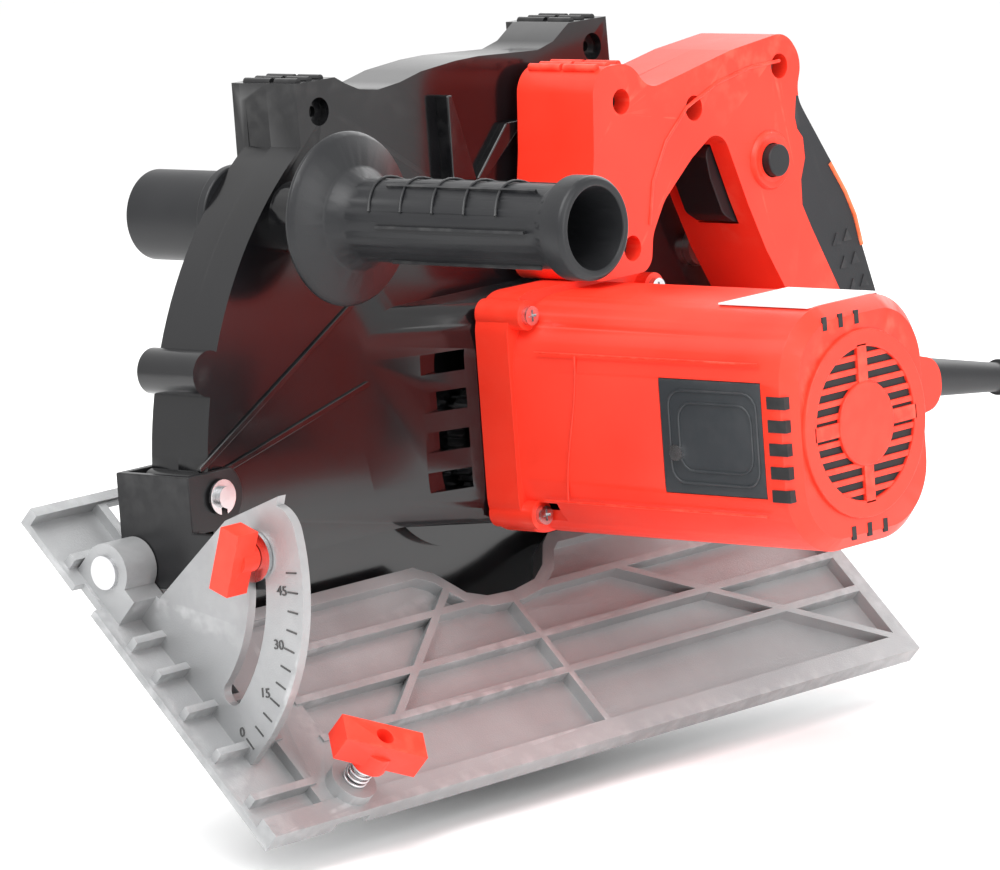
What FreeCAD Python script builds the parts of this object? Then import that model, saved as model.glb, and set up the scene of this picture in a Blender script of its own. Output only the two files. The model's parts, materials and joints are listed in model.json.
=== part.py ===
# Corded circular saw, 235 mm blade, shown with the sole plate tilted for a full bevel cut.
# Head axes: X is the cutting direction, Y points from the blade to the motor end, Z is up.
# While it is modelled the origin is on the bevel axis at the front edge of the sole plate.
# The last step moves everything so that the origin is the middle of the footprint, at floor level.
import FreeCAD, Part
import math
import os

V = FreeCAD.Vector
os.makedirs("parts", exist_ok=True)

# ---- fits ----
RUNNING = 0.06          # radial clearance of a pin or shaft that turns in a hole
GAP = 0.4               # clearance between pieces that pass each other
SEAT = 0.25             # clearance round a piece dropped into a recess

# ---- sole plate, in its own axes: X, a across the plate, b square to it ----
SOLE_LENGTH = 365.0
SOLE_LEFT = 37.6        # from the bevel axis to the blade-side edge
SOLE_RIGHT = 120.4      # from the bevel axis to the motor-side edge
SOLE_DROP = 13.4        # bevel axis above the underside
SOLE_SKIN = 3.0
RIM_HEIGHT = 8.0
RIM_WIDTH = 4.0
SIDE_RIM_WIDTH = 8.4    # rim at the motor side
REAR_RIM_WIDTH = 7.5
RIB_WIDTH = 3.0
RIBS_LONG = (48.5, 69.2, 86.8)              # a of the ribs along the plate
RIBS_FRONT = (-13.0, 27.5, 43.0, 61.0, 81.0, 102.5)
CROSS_RIB_X = 186.3
WINDOW_FRONT = 54.2     # blade window, from the front edge
WINDOW_REAR = 320.0
WINDOW_LEFT = -6.5
WINDOW_RIGHT = 27.0
WINDOW_FRAME = 5.0
WINDOW_BULGE = [(150.0, 27.0), (158.0, 32.0), (166.0, 43.3), (175.0, 47.0), (189.0, 47.6), (203.0, 45.2),
                (212.0, 40.0), (220.0, 31.0), (226.5, 27.0)]    # room for the gear case
CHANNEL_X = 43.0        # guide bar channel, from the front edge
CHANNEL_WIDTH = 17.0
CHANNEL_HEIGHT = 4.0
CHANNEL_ROOF = 3.0
GUIDE_SCREW_X = 47.0
GUIDE_SCREW_A = 109.0
GUIDE_SCREW_RADIUS = 3.0
GUIDE_BOSS_RADIUS = 9.0
GUIDE_BOSS_TOP = -1.0
WING_GAP = 10.0         # length of the spring between the boss and the wing
WING_LENGTH = 33.0
WING_WIDTH = 12.0
WING_HEIGHT = 8.5
BEVEL_REST = 45.0       # bevel angle that the model stands at
BEVEL_TRAVEL = 35.0     # down to 10 degrees, where the plate's ribs reach the motor at full depth

# ---- bevel quadrant and front pivot ----
QUADRANT_X = 17.4       # front face of the quadrant
QUADRANT_THICK = 4.0
QUADRANT_RADIUS = 87.0
QUADRANT_END = 66.0     # angle of its upper end above the plate
SLOT_RADIUS = 64.5
SLOT_LOW = 3.0
SLOT_HIGH = 54.5
STUD_RADIUS = 4.0
STUD_ANGLE = 7.3        # angle of the bevel stud on the bracket, from level
KNOB_LENGTH = 24.0
KNOB_WIDTH = 9.0
KNOB_DEPTH = 8.0
PIVOT_RADIUS = 4.0
PIVOT_BOSS = 10.5
PIVOT_BOSS_X = 6.0
REAR_LUG_X = 341.0
REAR_LUG_THICK = 6.0

# ---- brackets and depth setting ----
STEEL = 3.0
PIN_X = 37.2            # depth pin behind the front edge
PIN_Z = 24.0
PIN_RADIUS = 4.0
EAR_RADIUS = 12.0
ARM_RADIUS = 279.0      # depth arm slot, measured from the depth pin
ARM_WIDTH = 24.0
ARM_SLOT_WIDTH = 8.6
CLAMP_ANGLE = 10.75     # clamp bolt above level, seen from the depth pin
DEPTH_TRAVEL = 15.2
ARM_END = 2.2           # degrees of arm beyond each end of its slot
ARM_FOOT_Z = 2.2        # underside of the arm's foot, clear of the window's frame
LEVER_LENGTH_Y = 9.0
LEVER_TIP = (366.0, 66.0)

# ---- blade guards ----
ARBOR_X = 182.0
ARBOR_Z = 24.0
GUARD_RADIUS = 146.0
GUARD_WALL = 2.5
GUARD_Y0 = -3.0
GUARD_Y1 = 25.5
GUARD_SEAM = 10.5
GUARD_BOTTOM = -4.5
KEYHOLE_RADIUS = 62.0
GUARD_TOP = [(97.0, 150.0), (96.5, 166.0), (117.5, 166.0), (123.0, 163.0), (130.0, 160.0), (140.0, 158.6),
             (152.0, 159.8), (164.0, 162.4), (183.0, 164.0), (196.0, 164.2), (217.0, 162.8), (229.0, 162.4),
             (238.0, 164.6), (247.5, 170.5), (269.0, 170.5), (270.0, 130.0)]    # top line, front to rear
PAD_A = (107.2, 166.0)  # middle and top of the front rest pad
PAD_B = (258.5, 170.5)  # middle and top of the rear rest pad
PAD_WIDTH = 21.0
PAD_OVERHANG = 4.0      # the pads reach further out than the guard's wall
GUARD_SCREWS = [(41.0, 68.0), (108.0, 154.5), (260.0, 160.0)]
GUARD_BOSS = 8.5
GUARD_SCREW_HEAD = 4.2
GUARD_SCREW_SINK = 2.4
LOWER_RADIUS = 131.0
LOWER_Y0 = -0.1
LOWER_Y1 = 7.6
LOWER_WALL = 1.6
LOWER_HUB_Y1 = 11.5     # the hub stands wider than the part that goes through the window
LOWER_HUB_RADIUS = 44.0
LOWER_TRAVEL = 110.0

# ---- blade and spindle ----
BLADE_DIAMETER = 235.0
BLADE_THICK = 2.4
BLADE_Y = 3.5
BLADE_BORE = 30.0
BLADE_TEETH = 24
FLANGE_RADIUS = 24.0
FLANGE_THICK = 3.0
SPINDLE_RADIUS = 7.5
BEARING_RADIUS = 15.0
BOSS_RADIUS = 18.0
BOSS_Y0 = 7.7

# ---- gears ----
GEAR_MODULE = 1.2
PINION_TEETH = 9
GEAR_TEETH = 36
GEAR_Y0 = 27.0
GEAR_WIDTH = 8.5
MOTOR_RISE = 7.0        # motor axis above the arbor

# ---- motor ----
MOTOR_Y0 = 41.0
MOTOR_Y1 = 190.0
MOTOR_WIDTH = 80.0
MOTOR_HEIGHT = 90.0
MOTOR_CORNER = 27.0
MOTOR_WALL = 3.0
CASE_FRONT_X = 120.0    # gear case bulge where it leaves the guard
CASE_REAR_X = 249.0
CASE_TOP = 78.0
CASE_LOW = -5.0
CASE_END = (82.0, 84.0)     # its width and height at the motor
CASE_SLOTS = (11.0, 26.0, 41.0, 55.3)
MOTOR_FLANGE_Y1 = 57.0
MOTOR_FLANGE_EXTRA = 2.0
MOTOR_FLANGE_HEIGHT = 91.0
MOTOR_FLANGE_RISE = 2.2     # its middle is above the motor axis
MOTOR_FLANGE_CORNER = 15.0
MOTOR_SCREW_DX = 36.0
MOTOR_SCREW_Z = (71.0, -3.9)
MOTOR_SCREW_SEAT = 62.5
SHAFT_RADIUS = 4.0
CORE_RADIUS = 22.0
CORE_Y = (78.0, 128.0)
COMMUTATOR_RADIUS = 12.0
COMMUTATOR_Y = (142.0, 158.0)
FAN_RADIUS = 32.0
FAN_Y = (52.0, 62.0)
SHAFT_BEARING_RADIUS = 10.0
STATOR_OUTER = 36.4
STATOR_INNER = 23.2
BRUSH_COVER_Y = (128.0, 176.0)
BRUSH_COVER_Z = (9.0, 51.0)
BRUSH_COVER_THICK = 2.0

# ---- main handle ----
HANDLE_Y0 = 31.0
HANDLE_Y1 = 69.0
HANDLE_WALL = 3.2
HANDLE_FOOT_X = 404.0   # rear of the foot where the cord sleeve leaves it
HANDLE_SCREWS = [(225.2, 144.0), (266.4, 136.3), (317.8, 146.0), (226.0, 88.6), (372.0, 24.0),
                 (275.0, 22.0)]
SCREW_WELL = 4.8        # radius of the deep holes over the handle screws
POST_WALL = 1.5         # wall of the posts round those holes
SCREW_SHANK = 2.0
TRIGGER_WIDTH = 19.0
TRIGGER_TRAVEL = 8.0
LOCK_BUTTON = (308.7, 110.9)
LOCK_BUTTON_RADIUS = 6.2
LOCK_BUTTON_PROUD = 5.0
LOCK_BUTTON_TRAVEL = 4.0
GRIP_SKIN = 2.2
SLEEVE_LENGTH = 61.0
SLEEVE_TILT = 8.8
CORD_RADIUS = 4.2

# ---- side handle and dust port ----
SIDE_X = 90.4
SIDE_Z = 118.3
SIDE_BOSS_RADIUS = 13.0
SIDE_BOSS_END = 45.0
SIDE_FLANGE_RADIUS = 32.0
SIDE_GRIP_RADIUS = 15.6
SIDE_END_RADIUS = 18.6
SIDE_END_Y = 172.5
SIDE_HOLE_RADIUS = 14.8
DUST_X = 92.0
DUST_Z = 117.0
DUST_RADIUS = 16.8
DUST_WALL = 2.5
DUST_LENGTH = 43.0
DUST_COLLAR = 2.6

# ---- values that follow from the ones above ----
SOLE_B = -SOLE_DROP
SKIN_B = SOLE_B + SOLE_SKIN
gear_centres = GEAR_MODULE * (PINION_TEETH + GEAR_TEETH) / 2
MOTOR_X = ARBOR_X + math.sqrt(gear_centres ** 2 - MOTOR_RISE ** 2)
MOTOR_Z = ARBOR_Z + MOTOR_RISE
HANDLE_MID = (HANDLE_Y0 + HANDLE_Y1) / 2
CLAMP_X = PIN_X + ARM_RADIUS * math.cos(math.radians(CLAMP_ANGLE))
CLAMP_Z = PIN_Z + ARM_RADIUS * math.sin(math.radians(CLAMP_ANGLE))
ARM_Y1 = GUARD_Y0 - 1.5
ARM_Y0 = ARM_Y1 - STEEL
LEVER_Y1 = ARM_Y0 - 2.2
LEVER_Y0 = LEVER_Y1 - LEVER_LENGTH_Y
STUD_Y = SLOT_RADIUS * math.cos(math.radians(STUD_ANGLE))
STUD_Z = SLOT_RADIUS * math.sin(math.radians(STUD_ANGLE))
BRACKET_X = QUADRANT_X + QUADRANT_THICK + GAP
KNOB_X1 = QUADRANT_X - 2.2
KNOB_X0 = KNOB_X1 - KNOB_DEPTH
BLADE_Y0 = BLADE_Y - BLADE_THICK / 2
BLADE_Y1 = BLADE_Y + BLADE_THICK / 2


# ---------------- helpers ----------------
# X values above are distances behind the front edge, so the helpers turn them negative.
def box(x0, x1, y0, y1, z0, z1):
    return Part.makeBox(x1 - x0, y1 - y0, z1 - z0, V(-x1, y0, z0))


def rod(x, z, radius, y0, y1):
    """A cylinder parallel to Y."""
    return Part.makeCylinder(radius, y1 - y0, V(-x, y0, z), V(0, 1, 0))


def rod_x(a, b, radius, x0, x1):
    """A cylinder parallel to X, between two distances behind the front edge."""
    return Part.makeCylinder(radius, x1 - x0, V(-x1, a, b), V(1, 0, 0))


def rod_z(x, y, radius, z0, z1):
    return Part.makeCylinder(radius, z1 - z0, V(-x, y, z0), V(0, 0, 1))


def ring(x, z, outer, inner, y0, y1):
    return rod(x, z, outer, y0, y1).cut(rod(x, z, inner, y0 - 1, y1 + 1))


def plate_xz(points, y0, y1):
    """A plate from corner points (x, z) behind the front edge, extruded along Y."""
    corners = [V(-x, y0, z) for x, z in points]
    face = Part.Face(Part.makePolygon(corners + corners[:1]))
    return face.extrude(V(0, y1 - y0, 0))


def plate_yz(points, x0, x1):
    """A plate from corner points (y, z), extruded along X."""
    corners = [V(-x1, y, z) for y, z in points]
    face = Part.Face(Part.makePolygon(corners + corners[:1]))
    return face.extrude(V(x1 - x0, 0, 0))


def rounded_wire(width, height, radius, y, cx, cz):
    """A rounded rectangle in the XZ plane at y."""
    hw = width / 2 - radius
    hh = height / 2 - radius
    edges = []
    for quarter, (sx, sz) in enumerate([(1, 1), (-1, 1), (-1, -1), (1, -1)]):
        centre = V(-cx + sx * hw, y, cz + sz * hh)
        start = math.radians(90 * quarter)
        pts = []
        for part in (0, 45, 90):
            angle = start + math.radians(part)
            pts.append(centre + V(radius * math.cos(angle), 0, radius * math.sin(angle)))
        if edges:
            edges.append(Part.makeLine(last, pts[0]))
        else:
            first = pts[0]
        edges.append(Part.Arc(*pts).toShape())
        last = pts[2]
    edges.append(Part.makeLine(last, first))
    return Part.Wire(edges)


def rounded_bar(width, height, radius, y0, y1, cx, cz):
    face = Part.Face(rounded_wire(width, height, radius, y0, cx, cz))
    return face.extrude(V(0, y1 - y0, 0))


def smooth_profile(points, radius):
    """A closed XZ wire through (x, z) corners with each corner rounded by its own tangent arc."""
    count = len(points)
    starts = []
    arcs = []
    for i in range(count):
        here = V(-points[i][0], 0, points[i][1])
        back = V(-points[i - 1][0], 0, points[i - 1][1]) - here
        ahead_point = points[(i + 1) % count]
        ahead = V(-ahead_point[0], 0, ahead_point[1]) - here
        reach_limit = 0.45 * min(back.Length, ahead.Length)
        back.normalize()
        ahead.normalize()
        half = back.getAngle(ahead) / 2
        r = min(radius, reach_limit * math.tan(half))
        reach = r / math.tan(half)
        middle = back + ahead
        middle.normalize()
        centre = here + middle * (r / math.sin(half))
        top = centre - middle * r
        arcs.append((here + back * reach, top, here + ahead * reach))
    edges = []
    for i in range(count):
        edges.append(Part.Arc(*arcs[i]).toShape())
        edges.append(Part.makeLine(arcs[i][2], arcs[(i + 1) % count][0]))
    return Part.Wire(edges)


def prism(wire, y0, y1):
    shape = Part.Face(wire).extrude(V(0, y1 - y0, 0))
    shape.translate(V(0, y0, 0))
    return shape


def wedge_sector(x, z, radius, from_angle, to_angle, y0, y1):
    """A pie slice of a disc in the XZ plane. Angles run from forward towards up."""
    span = to_angle - from_angle
    slice_ = Part.makeCylinder(radius, y1 - y0, V(0, 0, 0), V(0, 0, 1), span)
    slice_.rotate(V(0, 0, 0), V(0, 0, 1), from_angle)
    slice_.rotate(V(0, 0, 0), V(1, 0, 0), 90)
    slice_.translate(V(-x, y1, z))
    return slice_


def fuse(first, others):
    shape = first.fuse(others) if others else first
    return shape.removeSplitter()


def cut(first, others):
    return first.cut(others)


def group(shapes):
    return Part.makeCompound(shapes)


def revolve_y(profile, x, z):
    """A turned piece about an axis parallel to Y, from (radius, y) points."""
    pts = [V(-x + r, y, z) for r, y in profile]
    face = Part.Face(Part.makePolygon(pts + pts[:1]))
    return face.revolve(V(-x, 0, z), V(0, 1, 0), 360)


def screw_y(x, z, head_y, tip_y, head_radius, shank_radius, head_height):
    """A pan head screw parallel to Y, with its head at head_y."""
    side = 1 if tip_y < head_y else -1      # the head stands away from the tip
    head0, head1 = sorted([head_y, head_y + side * head_height])
    shank0, shank1 = sorted([head_y, tip_y])
    head = rod(x, z, head_radius, head0, head1)
    slot_y0, slot_y1 = sorted([head_y + side * head_height * 0.5, head_y + side * (head_height + 1)])
    for turn in (0, 1):
        wide = head_radius * 0.6
        thin = head_radius * 0.14
        dx = wide if turn else thin
        dz = thin if turn else wide
        head = head.cut(box(x - dx, x + dx, slot_y0, slot_y1, z - dz, z + dz))
    return head.fuse(rod(x, z, shank_radius, shank0, shank1)).removeSplitter()


def tilt(shape):
    """From sole plate axes to head axes, at the bevel angle the model stands at."""
    turned = shape.copy()
    turned.rotate(V(0, 0, 0), V(1, 0, 0), -BEVEL_REST)
    return turned


# ---------------- sole plate ----------------
def rib(x0, a0, x1, a1):
    """A straight rib on the plate between two points, as high as the rim."""
    length = math.hypot(x1 - x0, a1 - a0)
    bar = Part.makeBox(length, RIB_WIDTH, RIM_HEIGHT - SOLE_SKIN + 0.5, V(0, -RIB_WIDTH / 2, 0))
    bar.rotate(V(0, 0, 0), V(0, 0, 1), math.degrees(math.atan2(a1 - a0, -(x1 - x0))))
    bar.translate(V(-x0, a0, SKIN_B - 0.5))
    return bar


def quadrant():
    x0 = QUADRANT_X
    x1 = QUADRANT_X + QUADRANT_THICK
    disc = rod_x(0, 0, QUADRANT_RADIUS, x0, x1)
    end = math.radians(QUADRANT_END)
    far = QUADRANT_RADIUS * 1.6
    keep = [(18.0, SOLE_B), (18.0, 4.0), (22.0, 50.0), (far * math.cos(end), far * math.sin(end)), (far, 0),
            (far, SOLE_B)]
    sector = disc.common(plate_yz(keep, x0, x1))
    tip_radius = 12.0
    tip_reach = QUADRANT_RADIUS - tip_radius
    tip_turn = end - math.asin(tip_radius / tip_reach)
    tip_a = tip_reach * math.cos(tip_turn)
    tip_b = tip_reach * math.sin(tip_turn)
    corner = plate_yz([(tip_a, tip_b), (far * math.cos(tip_turn), far * math.sin(tip_turn)),
                       (far * math.cos(end + 0.4), far * math.sin(end + 0.4))], x0 - 1, x1 + 1)
    sector = sector.cut(corner).fuse(rod_x(tip_a, tip_b, tip_radius, x0, x1))
    foot = plate_yz([(2, SOLE_B), (2, -2), (30, 6), (QUADRANT_RADIUS, 0), (QUADRANT_RADIUS, SOLE_B)], x0, x1)
    band = []
    for angle in (SLOT_LOW, SLOT_HIGH):
        a = SLOT_RADIUS * math.cos(math.radians(angle))
        b = SLOT_RADIUS * math.sin(math.radians(angle))
        band.append(rod_x(a, b, STUD_RADIUS + GAP, x0 - 1, x1 + 1))
    outer = rod_x(0, 0, SLOT_RADIUS + STUD_RADIUS + GAP, x0 - 1, x1 + 1)
    inner = rod_x(0, 0, SLOT_RADIUS - STUD_RADIUS - GAP, x0 - 2, x1 + 2)
    low = math.radians(SLOT_LOW)
    high = math.radians(SLOT_HIGH)
    wedge = plate_yz([(0, 0), (200 * math.cos(low), 200 * math.sin(low)),
                      (200 * math.cos(high), 200 * math.sin(high))], x0 - 1, x1 + 1)
    band.append(outer.cut(inner).common(wedge))
    return sector.fuse(foot).cut(band)


def window(grow, b0, b1):
    """The blade window with its bulge for the gear case, grown by an equal amount all round."""
    right = [(x, a) for x, a in WINDOW_BULGE]
    points = [(WINDOW_FRONT, WINDOW_LEFT), (WINDOW_FRONT, WINDOW_RIGHT)] + right
    rear_a = WINDOW_BULGE[-1][1]
    points += [(WINDOW_REAR - 6, rear_a), (WINDOW_REAR, rear_a - 6), (WINDOW_REAR, WINDOW_LEFT)]
    corners = [V(-x, a, b0) for x, a in points]
    wire = Part.makePolygon(corners + corners[:1])
    if grow:
        wire = wire.makeOffset2D(grow)
    return Part.Face(wire).extrude(V(0, 0, b1 - b0))


def base_plate():
    left = -SOLE_LEFT
    right = SOLE_RIGHT
    rim_top = SOLE_B + RIM_HEIGHT
    roof_b = SOLE_B + CHANNEL_HEIGHT + CHANNEL_ROOF
    ch0 = CHANNEL_X - CHANNEL_WIDTH / 2
    ch1 = CHANNEL_X + CHANNEL_WIDTH / 2
    back = SOLE_LENGTH - REAR_RIM_WIDTH
    side = right - SIDE_RIM_WIDTH
    plate = box(0, SOLE_LENGTH, left, right, SOLE_B, SKIN_B)
    add = [
        box(back, SOLE_LENGTH, left, right, SOLE_B, rim_top),
        box(0, SOLE_LENGTH, left, left + RIM_WIDTH, SOLE_B, rim_top),
        box(0, SOLE_LENGTH, side, right, SOLE_B, rim_top),
        box(ch0 - CHANNEL_ROOF, ch1 + CHANNEL_ROOF, left, right, SOLE_B, roof_b),
        box(PIVOT_BOSS_X, QUADRANT_X + QUADRANT_THICK, -PIVOT_BOSS, PIVOT_BOSS + 6, SOLE_B, 2),
        rod_x(0, 0, PIVOT_BOSS, PIVOT_BOSS_X, QUADRANT_X + QUADRANT_THICK),
        box(REAR_LUG_X, REAR_LUG_X + REAR_LUG_THICK, -PIVOT_BOSS, PIVOT_BOSS, SOLE_B, 0),
        rod_x(0, 0, PIVOT_BOSS, REAR_LUG_X, REAR_LUG_X + REAR_LUG_THICK),
        rod_z(GUIDE_SCREW_X, GUIDE_SCREW_A, GUIDE_BOSS_RADIUS, SOLE_B + CHANNEL_HEIGHT + 1, GUIDE_BOSS_TOP),
        quadrant(),
        window(WINDOW_FRAME, SOLE_B, rim_top).common(box(ch1, back, left, side, SOLE_B, rim_top)),
    ]
    for a in RIBS_FRONT:
        add.append(rib(2.5, a, ch0, a))
    for a in RIBS_LONG:
        add.append(rib(ch1, a, back, a))
    add += [
        rib(WINDOW_BULGE[1][0] + 2.0, RIBS_LONG[0] - 10.0, 92.0, RIBS_LONG[2]),
        rib(CROSS_RIB_X, RIBS_LONG[0], CROSS_RIB_X, side),
        rib(246.5, RIBS_LONG[0], back + 1, 113.0),
    ]
    body = plate.fuse(add)
    away = [
        window(0, SOLE_B - 1, 0),
        box(ch0, ch1, left - 1, right + 1, SOLE_B - 1, SOLE_B + CHANNEL_HEIGHT),
        box(ch0 + 1, ch1 - 1, left + RIM_WIDTH + 1, left + RIM_WIDTH + 13, SOLE_B - 1, 0),
        box(-1, 4.5, -4.0, 8.0, SOLE_B - 1, 5),
        rod_x(0, 0, PIVOT_RADIUS, -1, QUADRANT_X + QUADRANT_THICK + 1),
        rod_x(0, 0, PIVOT_RADIUS, REAR_LUG_X - 1, REAR_LUG_X + REAR_LUG_THICK + 1),
        rod_z(GUIDE_SCREW_X, GUIDE_SCREW_A, GUIDE_SCREW_RADIUS + RUNNING, SOLE_B - 1, 10),
    ]
    return body.cut(away).removeSplitter()


def guide_screw():
    wing_b = GUIDE_BOSS_TOP + WING_GAP
    return rod_z(GUIDE_SCREW_X, GUIDE_SCREW_A, GUIDE_SCREW_RADIUS, SOLE_B + CHANNEL_HEIGHT - 2, wing_b + 1)


def wing(length, width, height):
    """A wing head centred on its axis: a round hub with two offset ears."""
    hub = Part.makeCylinder(width * 0.62, height, V(0, 0, 0), V(0, 0, 1))
    ear = Part.makeBox(length / 2, width, height * 1.3, V(0, -width / 2, height * 0.35))
    other = ear.copy()
    other.rotate(V(0, 0, 0), V(0, 0, 1), 180)
    return hub.fuse([ear, other]).removeSplitter()


def guide_wing():
    wing_b = GUIDE_BOSS_TOP + WING_GAP
    head = wing(WING_LENGTH, WING_WIDTH, WING_HEIGHT)
    head = head.cut(Part.makeCylinder(3.4, 20, V(0, 0, WING_HEIGHT - 2.5), V(0, 0, 1)))
    head = head.cut(Part.makeCylinder(GUIDE_SCREW_RADIUS, 1.0, V(0, 0, 0), V(0, 0, 1)))
    head.rotate(V(0, 0, 0), V(0, 0, 1), 150)
    head.translate(V(-GUIDE_SCREW_X, GUIDE_SCREW_A, wing_b))
    return head


def coil_spring(radius, wire, length, turns):
    """Separate closed turns standing in for a compression spring along +Z."""
    pitch = (length - 2 * wire) / (turns - 1)
    return [Part.makeTorus(radius, wire, V(0, 0, wire + i * pitch), V(0, 0, 1)) for i in range(turns)]


def guide_spring():
    turns = coil_spring(GUIDE_SCREW_RADIUS + 1.2, 0.6, WING_GAP, 5)
    for turn in turns:
        turn.translate(V(-GUIDE_SCREW_X, GUIDE_SCREW_A, GUIDE_BOSS_TOP))
    return group(turns)


def bevel_rivets():
    front = rod_x(0, 0, PIVOT_RADIUS, PIVOT_BOSS_X, BRACKET_X + STEEL + 0.5)
    front = front.fuse(rod_x(0, 0, 6.2, PIVOT_BOSS_X - 1.6, PIVOT_BOSS_X))
    rear_bracket_x = REAR_LUG_X - GAP - STEEL
    rear = rod_x(0, 0, PIVOT_RADIUS, rear_bracket_x - 0.5, REAR_LUG_X + REAR_LUG_THICK)
    rear = rear.fuse(rod_x(0, 0, 6.2, REAR_LUG_X + REAR_LUG_THICK, REAR_LUG_X + REAR_LUG_THICK + 1.6))
    return group([front.removeSplitter(), rear.removeSplitter()])


# ---------------- brackets and depth setting ----------------
def front_bracket():
    x0 = BRACKET_X
    x1 = BRACKET_X + STEEL
    ear0 = GUARD_Y0 - 1.0 - STEEL
    ear1 = GUARD_Y1 + 1.0
    top = PIN_Z + 9.5
    outline = [(ear0, top), (ear1 + STEEL, top), (ear1 + STEEL, 13), (44, 13), (51, 21), (72, 21),
               (79, 12), (79, 0), (66, -5), (24, -8), (0, -8.5), (ear0, -6)]
    face = plate_yz(outline, x0, x1)
    ears = []
    for y in (ear0, ear1):
        web = box(x0, PIN_X, y, y + STEEL, PIN_Z - EAR_RADIUS, top)
        ears.append(web)
        round_end = rod(PIN_X, PIN_Z, EAR_RADIUS, y, y + STEEL)
        ears.append(round_end.common(box(x0, PIN_X + 20, y, y + STEEL, 0, top)))
    holes = [
        rod(PIN_X, PIN_Z, PIN_RADIUS, ear0 - 1, ear1 + STEEL + 1),
        rod_x(0, 0, PIVOT_RADIUS + RUNNING, x0 - 1, x1 + 1),
        rod_x(STUD_Y, STUD_Z, STUD_RADIUS, x0 - 1, x1 + 1),
    ]
    return face.fuse(ears).cut(holes).removeSplitter()


def depth_pin():
    ear0 = GUARD_Y0 - 1.0 - STEEL
    ear1 = GUARD_Y1 + 1.0 + STEEL
    pin = rod(PIN_X, PIN_Z, PIN_RADIUS, ear0, ear1 + 4)
    head = rod(PIN_X, PIN_Z, 6.5, ear0 - 2.5, ear0)
    groove = ring(PIN_X, PIN_Z, PIN_RADIUS + 1, PIN_RADIUS - 0.6, ear1 + 1, ear1 + 2)
    return pin.fuse(head).cut(groove).removeSplitter()


def depth_pin_ring():
    ear1 = GUARD_Y1 + 1.0 + STEEL
    whole = ring(PIN_X, PIN_Z, 6.4, PIN_RADIUS - 0.55, ear1 + 1.05, ear1 + 1.95)
    return whole.cut(box(PIN_X - 1.5, PIN_X + 1.5, ear1, ear1 + 3, PIN_Z - 8, PIN_Z))


def arm_sector(radius0, radius1, low, high, y0, y1):
    """Part of a ring about the depth pin, between two angles above level at the rear."""
    whole = ring(PIN_X, PIN_Z, radius1, radius0, y0, y1)
    reach = radius1 * 1.5
    corners = [(PIN_X, PIN_Z)]
    for angle in (low, (low + high) / 2, high):
        turn = math.radians(angle)
        corners.append((PIN_X + reach * math.cos(turn), PIN_Z + reach * math.sin(turn)))
    return whole.common(plate_xz(corners, y0, y1))


def depth_arm():
    half = ARM_WIDTH / 2
    top = CLAMP_ANGLE + DEPTH_TRAVEL + ARM_END
    bar = arm_sector(ARM_RADIUS - half, ARM_RADIUS + half, -4.5, top, ARM_Y0, ARM_Y1)
    x0 = REAR_LUG_X - GAP - STEEL
    foot = box(ARM_RADIUS + PIN_X - half, x0 + STEEL, ARM_Y0, ARM_Y1, ARM_FOOT_Z, 20)
    tab = plate_yz([(ARM_Y0, ARM_FOOT_Z), (-5.5, -6.5), (3, -9), (9, -4), (9, 9), (4, 12), (ARM_Y0, 20)],
                   x0, x0 + STEEL)
    slot = arm_sector(ARM_RADIUS - ARM_SLOT_WIDTH / 2, ARM_RADIUS + ARM_SLOT_WIDTH / 2,
                      CLAMP_ANGLE - 0.3, CLAMP_ANGLE + DEPTH_TRAVEL + 0.3, ARM_Y0 - 1, ARM_Y1 + 1)
    ends = []
    for angle in (CLAMP_ANGLE - 0.3, CLAMP_ANGLE + DEPTH_TRAVEL + 0.3):
        turn = math.radians(angle)
        ends.append(rod(PIN_X + ARM_RADIUS * math.cos(turn), PIN_Z + ARM_RADIUS * math.sin(turn),
                        ARM_SLOT_WIDTH / 2, ARM_Y0 - 1, ARM_Y1 + 1))
    hole = rod_x(0, 0, PIVOT_RADIUS + RUNNING, x0 - 1, x0 + STEEL + 1)
    return bar.fuse([foot, tab]).cut([slot, hole] + ends).removeSplitter()


def depth_bolt():
    bolt = rod(CLAMP_X, CLAMP_Z, 4.0, LEVER_Y0 - 3, GUARD_Y1 + 2.5)
    head = Part.makeCylinder(7.5, 3.5, V(-CLAMP_X, GUARD_Y1, CLAMP_Z), V(0, 1, 0))
    return bolt.fuse(head).removeSplitter()


def depth_washer():
    return ring(CLAMP_X, CLAMP_Z, 9.0, 4.0 + RUNNING, LEVER_Y1 + 0.3, ARM_Y0 - 0.2)


def depth_lever():
    hub = rod(CLAMP_X, CLAMP_Z, 10.0, LEVER_Y0, LEVER_Y1)
    tip = rod(LEVER_TIP[0], LEVER_TIP[1], 9.0, LEVER_Y0, LEVER_Y1 - 2)
    dx = LEVER_TIP[0] - CLAMP_X
    dz = LEVER_TIP[1] - CLAMP_Z
    length = math.hypot(dx, dz)
    nx = -dz / length
    nz = dx / length
    corners = [(CLAMP_X + nx * 8, CLAMP_Z + nz * 8), (LEVER_TIP[0] + nx * 6, LEVER_TIP[1] + nz * 6),
               (LEVER_TIP[0] - nx * 6, LEVER_TIP[1] - nz * 6), (CLAMP_X - nx * 8, CLAMP_Z - nz * 8)]
    arm = plate_xz(corners, LEVER_Y0, LEVER_Y1 - 2)
    bore = rod(CLAMP_X, CLAMP_Z, 4.0 + RUNNING, LEVER_Y0 - 1, LEVER_Y1 + 1)
    return hub.fuse([tip, arm]).cut(bore).removeSplitter()


def bevel_stud():
    head_x = BRACKET_X + STEEL
    stud = rod_x(STUD_Y, STUD_Z, STUD_RADIUS, KNOB_X0 + 1.0, head_x)
    head = rod_x(STUD_Y, STUD_Z, 7.0, head_x, head_x + 3)
    return stud.fuse(head).removeSplitter()


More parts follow.
